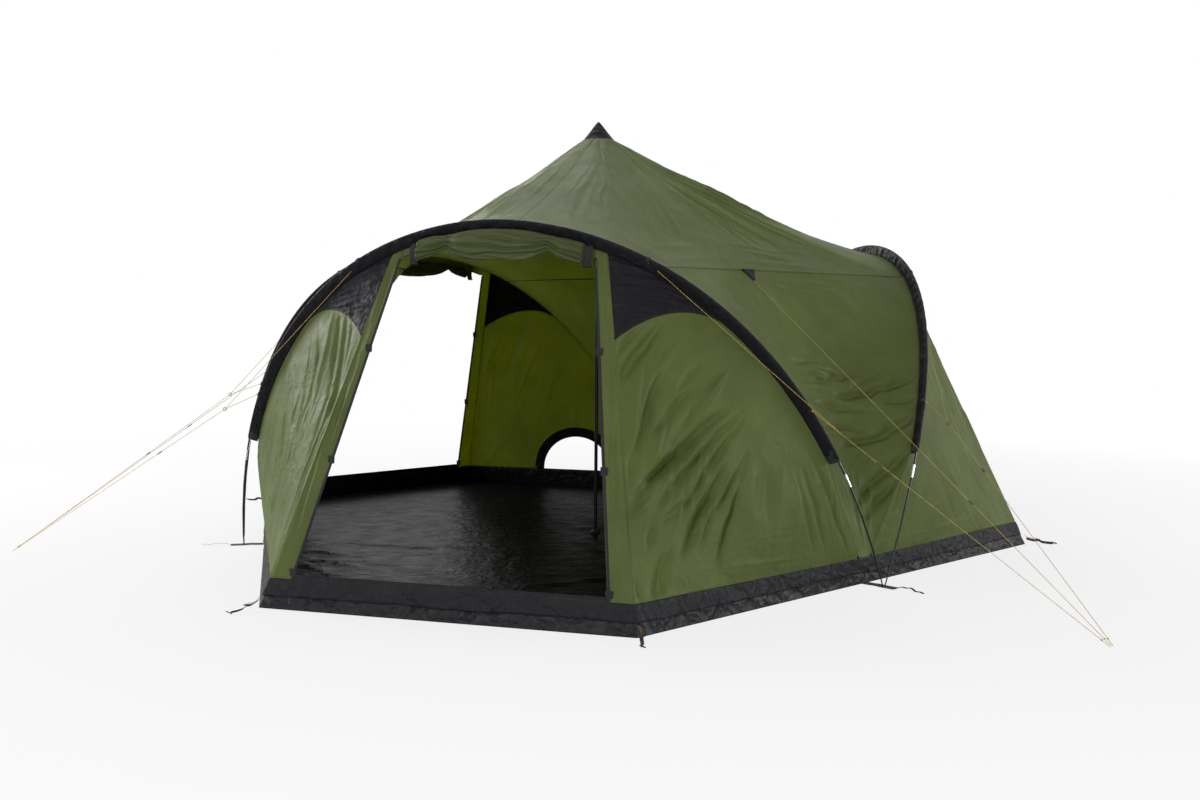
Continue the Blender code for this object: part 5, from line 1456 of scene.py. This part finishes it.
class TENT_OT_doors(bpy.types.Operator):
    """Make the rolled doors with their ties and bands, and the closed door"""

    bl_idname = "tent.doors"
    bl_label = "Doors"

    def execute(self, context):
        for k, bay in ((0, "front"), (2, "left")):
            tube = closed_tube(placed(roll_rings(500 + k), k))
            # The roll's darker olive is painted shade, not a colour of its own.
            roll = plain_piece(f"roll_{bay}", tube, "olive_thick_painted_shade", [f"door_roll_{bay}"])
            ties = [self.tie(x) for x in ROLL_TIES]
            ties += [self.band(x) for x in (ROLL_ENDS[0] - 0.012, ROLL_ENDS[1] + 0.010)]
            data = joined(ties)
            data.transform(Matrix.Rotation(THIRD * k, 4, "Z"))
            plain_piece(f"ties_{bay}", data, "webbing")
        cloth_piece("door_closed", mesh_of_grids(placed(door_panel(sizes().weave * 1.1, 520), 1)), "olive",
                    ["door_right"], cut_size(door_panel(0.05, 1)[..., [0, 2]]))
        return {"FINISHED"}

    def tie(self, x):
        """A toggle loop that goes round the roll."""
        centre = lintel_edge(np.array([x]), 0.004)[0] + FACE_DOWN * 0.038 + FACE_OUT * 0.024
        angle = np.linspace(-0.5 * np.pi, 1.5 * np.pi, 40)[:, None]
        loop = centre + FACE_OUT * 0.0235 * np.cos(angle) - FACE_DOWN * 0.040 * np.sin(angle)
        return strap(loop, 0.012, 0.0022, (1.0, 0.0, 0.0))

    def band(self, x):
        """The wide band that hangs from the sleeve at the roll's end."""
        top = junction(station_at_x(abs(x))) * [math.copysign(1.0, x), 1.0, 1.0]
        t = np.linspace(0.0, 1.0, 20)[:, None]
        out = 0.006 + 0.034 * np.maximum(np.sin(np.pi * t), 0.0) ** 0.7 - 0.006 * t
        return strap(top + FACE_DOWN * (0.132 * t - 0.004) + FACE_OUT * out, 0.050, 0.0024, (1.0, 0.0, 0.0))


def wall_surface(x, z):
    """Where the left bay's rear panel is along Y, at places in X and Z, from the panel's own rulings."""
    outer, base, _ = side_edges(240)
    wall = placed(ruled(outer, base, 120), 2, -1).reshape(-1, 3)
    y = np.empty_like(x)
    for index in np.ndindex(x.shape):
        gap = (wall[:, 0] - x[index]) ** 2 + (wall[:, 2] - z[index]) ** 2
        near = np.argsort(gap)[:4]
        y[index] = np.average(wall[near, 1], weights=1.0 / (gap[near] + 1e-8))
    return y


class TENT_OT_vent(bpy.types.Operator):
    """Make the border of the half-round vent"""

    bl_idname = "tent.vent"
    bl_label = "Vent"

    def execute(self, context):
        radius = np.linspace(VENT_RADIUS + 0.004, VENT_RADIUS - VENT_BORDER, 9)[:, None]
        angle = np.linspace(0.0, np.pi, 73)
        x, z = VENT_CENTRE_X + radius * np.cos(angle), HEM_TOP + radius * np.sin(angle)
        grid = np.stack([x, wall_surface(x, z), z], axis=-1)
        height = 0.0016 + 0.002 * cloud(grid[..., [0, 2]], 0.05, 600) * free_share(grid, 0.02)
        cloth_piece("vent_edge", mesh_of_grids(folded(grid, height)), "charcoal", ["vent_border"],
                    (0.086, 1.20), thickness=0.002)
        plain_piece("vent_piping", rod(grid[-1], 0.0035, 8, (0.0, 1.0, 0.0)), "webbing")
        return {"FINISHED"}


class TENT_OT_cap(bpy.types.Operator):
    """Make the cap over the apex"""

    bl_idname = "tent.cap"
    bl_label = "Apex cap"

    def execute(self, context):
        share = np.linspace(0.0, 1.0, CAP_ROWS)[:, None]
        angle = np.linspace(0.0, 2.0 * np.pi, CAP_SIDES, endpoint=False)
        reach = (CAP_RADIUS + CAP_SKIRT) * (1.0 - share) ** 0.98 * (1.0 - 0.07 * np.sin(np.pi * share))
        facet = 1.0 + 0.035 * np.cos(3.0 * (angle + math.radians(90.0))) * (1.0 - share)
        reach = (reach + 0.004 * share) * facet
        height = APEX_HEIGHT - CAP_HEIGHT - CAP_SKIRT - 0.008 * (1.0 - share) ** 3 - 0.001
        height = height + (CAP_HEIGHT + CAP_SKIRT) * share ** 0.96
        grid = np.stack(np.broadcast_arrays(reach * np.cos(angle), reach * np.sin(angle), height), axis=-1)
        bumps = 0.0022 * cloud(grid, 0.03, 700) * smooth((1.0 - share) * 3.0) * smooth(share / 0.1)
        data = mesh_of_grids(grid + unit(grid * LEVEL) * bumps[..., None], around=True)
        with edited(data) as build:
            build.faces.new(build.verts[-CAP_SIDES:])
        cloth_piece("cap", data, "charcoal", ["apex_cap"], (0.72, 0.19),
                    thickness=0.0018)
        return {"FINISHED"}


# Hem and groundsheet


def outline_points(height, offset, coarse=1):
    """The tent's plan at a height, counter-clockwise, and which of its points cross a doorway."""
    corners = [placed(place, bay, side) for bay in range(3)
               for place, side in ((corner(height), -1), (corner(height), 1), (foot_middle(height), 1))]
    moved = []
    for before, here, after in zip(corners[-1:] + corners[:-1], corners, corners[1:] + corners[:1]):
        a, b = unit((here - before)[:2]), unit((after - here)[:2])
        normal = np.array([a[1] + b[1], -a[0] - b[0]])
        moved.append(here + np.append(normal * offset * 2.0 / normal.dot(normal), 0.0))
    points, inside = [], []
    for k, (start, end) in enumerate(zip(moved, moved[1:] + moved[:1])):
        door = k % 3 == 0
        steps = (DOOR_STEPS if door else SIDE_STEPS) // coarse
        t = np.arange(steps) / steps
        half = np.linalg.norm(end - start) / 2
        points.append(mix(start, end, t[:, None]))
        inside.append((np.abs(t - 0.5) * 2.0 * half < half - STRIP_BOTTOM - 0.004) & door)
    return np.concatenate(points), np.concatenate(inside)


def hem_level(share, lap=0.0):
    """The hem's line at a share of its height, which is more across a doorway, up to the sill."""
    plain, inside = outline_points(HEM_BOTTOM + (HEM_TOP + lap - HEM_BOTTOM) * share, HEM_CLEAR)
    raised, _ = outline_points(HEM_BOTTOM + (SILL_TOP - HEM_BOTTOM) * share, HEM_CLEAR)
    return np.where(inside[:, None], raised, plain)


def hem_wave(points, share):
    """How far the hem stands off its line: least at the sewn top, most at the loose lower edge."""
    wave = 0.0060 * cloud(points * [1.0, 1.0, 0.25], 0.10, 800) + 0.0052 * cloud(points, 0.034, 801)
    return wave * (0.25 + 0.75 * smooth(1.0 - np.asarray(share))) + 0.0026


class TENT_OT_base(bpy.types.Operator):
    """Make the hem band and the groundsheet"""

    bl_idname = "tent.base"
    bl_label = "Hem and groundsheet"

    def execute(self, context):
        self.hem()
        self.groundsheet()
        return {"FINISHED"}

    def hem(self):
        shares = np.linspace(1.0, 0.0, HEM_ROWS)
        grid = np.stack([hem_level(share, HEM_LAP) for share in shares])
        shares = shares[:, None]
        grid = grid + unit(grid * LEVEL) * hem_wave(grid, shares)[..., None]
        grid[..., 2] += 0.010 * cloud(grid * LEVEL, 0.16, 805, 3) * smooth(1.0 - shares)
        cloth_piece("hem", mesh_of_grids(grid, around=True), "hem", ["hem_band"],
                    (0.10, 18.6), thickness=0.0012)

    def groundsheet(self):
        ring, _ = outline_points(0.0, -TUB_OFFSET, 2)
        shares = np.concatenate([[0.0], np.linspace(0.02, 0.988, 82), [0.9985, 1.0]])
        floor = ring * shares[:, None, None]
        flat = floor[..., :2]
        lift = 0.0050 * np.abs(cloud(flat, 0.32, 820, 3)) + strokes(flat, FLOOR_FOLDS, 1.3, 0.03)
        lift = lift + 0.0060 * np.abs(streaks(flat, 20, 0.11, 0.6, 1.0, 821))
        lift = lift + 0.0045 * np.abs(streaks(flat, 112, 0.14, 0.8, 1.0, 824))
        run = np.hypot(floor[..., 0], floor[..., 1])
        lift = lift * smooth((run - 0.05) / 0.15) * smooth((1.0 - shares) / 0.03)[:, None]
        floor[..., 2] = 0.0010 + lift
        walls = []
        for share in np.array([0.3, *range(1, 10)]) / 9.0:
            level, _ = outline_points(TUB_HEIGHT * share, -TUB_OFFSET, 2)
            wave = 0.0045 * cloud(level, 0.07, 830, 3) + crumple(level, 0.040, 0.0065, 831) - 0.0045
            wave = wave[:, None] * max(math.sin(math.pi * share), 0.0) ** 0.6
            walls.append(level + unit(level * LEVEL) * wave)
        grid = np.concatenate([floor, walls])
        grid[..., 2] = np.maximum(grid[..., 2], 0.0008)
        data = mesh_of_grids(grid, around=True)
        upright = np.repeat([0.0] * len(shares) + [1.0] * len(walls), grid.shape[1])
        data.attributes.new("upright", "FLOAT", "POINT").data.foreach_set("value", upright.astype(np.float32))
        cloth_piece("groundsheet_cloth", data, "floor", ["groundsheet"],
                    tuple(side + 2.0 * TUB_HEIGHT for side in cut_size(grid)), 0.0008)


# Webbing, tabs and small fittings


def ladder_buckle(centre, along, up):
    """A ladder buckle: a frame with a cross bar."""
    along, up = unit(along), unit(up)
    long, wide = along * BUCKLE_LENGTH, np.cross(up, along) * BUCKLE_WIDTH
    places = [(wide, long * shift) for shift in (-0.5, 0.0, 0.5)]
    places += [(long, wide * shift) for shift in (-0.5, 0.5)]
    return joined([rod(centre + place + np.outer((-0.5, 0.0, 0.5), bar), BUCKLE_BAR, 10, up)
                   for bar, place in places])


class TENT_OT_webbing(bpy.types.Operator):
    """Make the peg loops, foot straps, buckles, elastic loops and tabs"""

    bl_idname = "tent.webbing"
    bl_label = "Webbing"

    def execute(self, context):
        loops, buckles, elastics = [], [], []
        halves = [(bay, side) for bay in range(3) for side, _ in SIDES]
        for half in halves:
            self.peg_loop(placed(corner(0.0), *half), loops, buckles, elastics)
        for k, foot in enumerate(FEET):
            self.foot(k, foot)
        plain_piece("peg_loops", loops, "webbing")
        plain_piece("ladder_buckles", buckles, "plastic")
        plain_piece("elastic_loops", elastics, "elastic")
        tabs = [self.sleeve_tab(*half, u) for half in halves for u in (UPPER_TAB, LOWER_TAB)]
        tabs += [self.strip_tab(*half, height) for half in halves for height in STRIP_TAB_HEIGHTS]
        plain_piece("tabs", tabs, "webbing")
        self.triangles()
        return {"FINISHED"}

    def peg_loop(self, place, loops, buckles, elastics):
        """A webbing loop with its buckle and eye, and the elastic that holds the hem to it."""
        out = unit(place * LEVEL)
        side = np.array([-out[1], out[0], 0.0])
        up = np.array([0.0, 0.0, 1.0])
        t = np.linspace(0.0, 1.0, 30)[:, None]
        lift = 0.012 + 0.030 * (1.0 - t) ** 2 + 0.010 * np.exp(-((t - 0.45) / 0.10) ** 2)
        path = place + out * (0.004 + 0.185 * t) + side * 0.012 * np.sin(2.6 * t) + up * lift
        loops.append(strap(path, 0.022, 0.0020, unit(side + 0.9 * up)))
        buckles.append(ladder_buckle(path[13] + 0.003 * up, out, up))
        loops.append(torus(path[-1] + out * 0.012 + 0.001 * up, (0.30, 0.45, 1.0), 0.015, 0.0026))
        top = place * [0.996, 0.996, 1.0] + 0.062 * up + out * 0.006
        t = np.linspace(0.0, 1.0, 24)[:, None]
        drop = mix(top, path[12] + 0.012 * up, t) + (side - up) * 0.010 * np.sin(np.pi * t)
        elastics.extend(rod(line, ELASTIC_RADIUS, 8) for line in (drop, drop + side * 0.010))

    def foot(self, k, foot):
        """The strap under the pole pins, and its loose tail."""
        r = np.linspace(2.376, 2.595, 24)
        under = np.stack([r, np.zeros(24), 0.0012 + 0.002 * np.exp(-((r - 2.46) / 0.03) ** 2)], axis=-1)
        t = np.linspace(0.0, 1.0, 28)
        lift = 0.004 + 0.018 * np.sin(np.pi * t) ** 2 * (1 - t) + 0.006 * np.sin(9.0 * t) ** 2
        tail = np.stack([2.590 + 0.20 * t, 0.012 * np.sin(5.0 * t), lift], axis=-1)
        rows = ((under, 0.072, 0.0018, 0.0), (tail, 0.016, 0.0014, 0.15))
        parts = [strap(at_foot(path, k), width, thickness, at_foot([0.0, 1.0, tilt], k))
                 for path, width, thickness, tilt in rows]
        plain_piece(f"foot_webbing_{foot}", parts, "webbing", nodes=[f"foot_strap_{foot}"])

    def sleeve_tab(self, bay, side, u):
        """A folded tab that goes over the sleeve's outer edge, at a guy point."""
        along = unit(arch_point(u + 1e-3) - arch_point(u - 1e-3))
        angle = np.linspace(-0.75 * np.pi, 0.75 * np.pi, 24)[:, None]
        loop = arch_point(u) + 0.0150 * (PLANE_NORMAL * np.sin(angle) - arch_inward(u) * np.cos(angle))
        return strap(placed(loop, bay, side), 0.022, 0.002, placed(along, bay, side))

    def strip_tab(self, bay, side, height):
        """A tab across the door strip's outer edge."""
        top = junction(U_DOOR)
        place = mix(STRIP_FOOT, top, (height - HEM_TOP) / (top[2] - HEM_TOP))
        s = np.linspace(0.0, 1.0, 10)[:, None]
        bow = 0.004 + 0.003 * np.cos(2.4 * (s - 0.5))
        path = place + (0.040 * s - 0.016) * [1.0, 0.0, 0.0] + FACE_OUT * bow
        return strap(placed(path, bay, side), 0.045, 0.0026, (0.0, 0.0, 1.0))

    def triangles(self):
        """The dark reinforcement at the middle of each roof seam."""
        grid = valley_grid(61, 121)
        run = run_of(grid[:, 30])
        rows = int(np.searchsorted(run, TRIANGLE_DROP)) + 1
        patch = []
        for i in range(rows):
            half = 0.058 * (1.0 - run[i] / run[rows - 1]) + 0.008
            patch.append(np.stack([np.interp(np.linspace(-half, half, 9), grid[i, :, 1], grid[i, :, a])
                                   for a in range(3)], axis=-1))
        patch = np.array(patch)
        patch = patch + grid_normals(patch) * 0.0055
        obj = link("triangle_patches", joined([mesh_of_grids(at_foot(patch, k)) for k in range(3)]))
        thicken(obj, 0.008)
        declare(obj, "charcoal")


# Poles and fittings that stay as the frame has them


class TENT_OT_metalwork(bpy.types.Operator):
    """Give the poles, ferrules, zip pulls and tensioners their finish"""

    bl_idname = "tent.metalwork"
    bl_label = "Poles and fittings"

    def execute(self, context):
        finishes = {"ferrule": "ferrule", "arch_crown": "pole", "leg": "pole", "centre_pole_foot": "plastic",
                    "centre_pole": "pole", "tensioner": "plastic", "zip_pull": "plastic"}
        for name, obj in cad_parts.items():
            surface = next((finishes[start] for start in finishes if name.startswith(start)), None)
            for slot in obj.material_slots if surface else ():
                slot.material = SURFACES[surface]
        return {"FINISHED"}


class TENT_PT_panel(bpy.types.Panel):
    """Lists the tent's pieces and sizes"""

    bl_idname = "TENT_PT_panel"
    bl_label = "Tipi tent"
    bl_space_type = "VIEW_3D"
    bl_region_type = "UI"
    bl_category = "Tent"

    def draw(self, context):
        for group in (context.scene.tent_sizes, context.scene.tent_colours):
            box = self.layout.box()
            for key in group.__annotations__:
                box.prop(group, key)
        for step in STEPS:
            self.layout.operator(step.bl_idname)


STEPS = (TENT_OT_stage, TENT_OT_guy_lines, TENT_OT_sleeves, TENT_OT_walls, TENT_OT_roof, TENT_OT_seams,
         TENT_OT_doors, TENT_OT_vent, TENT_OT_cap, TENT_OT_base, TENT_OT_webbing, TENT_OT_metalwork)
CLASSES = (TentSizes, TentColours, *STEPS, TENT_PT_panel)


def register():
    for cls in CLASSES:
        bpy.utils.register_class(cls)
    bpy.types.Scene.tent_sizes = bpy.props.PointerProperty(type=TentSizes)
    bpy.types.Scene.tent_colours = bpy.props.PointerProperty(type=TentColours)


def unregister():
    del bpy.types.Scene.tent_colours
    del bpy.types.Scene.tent_sizes
    for cls in reversed(CLASSES):
        bpy.utils.unregister_class(cls)


def main():
    register()
    make_materials()
    for step in STEPS:
        group, name = step.bl_idname.split(".")
        getattr(getattr(bpy.ops, group), name)()


if __name__ == "__main__":
    main()
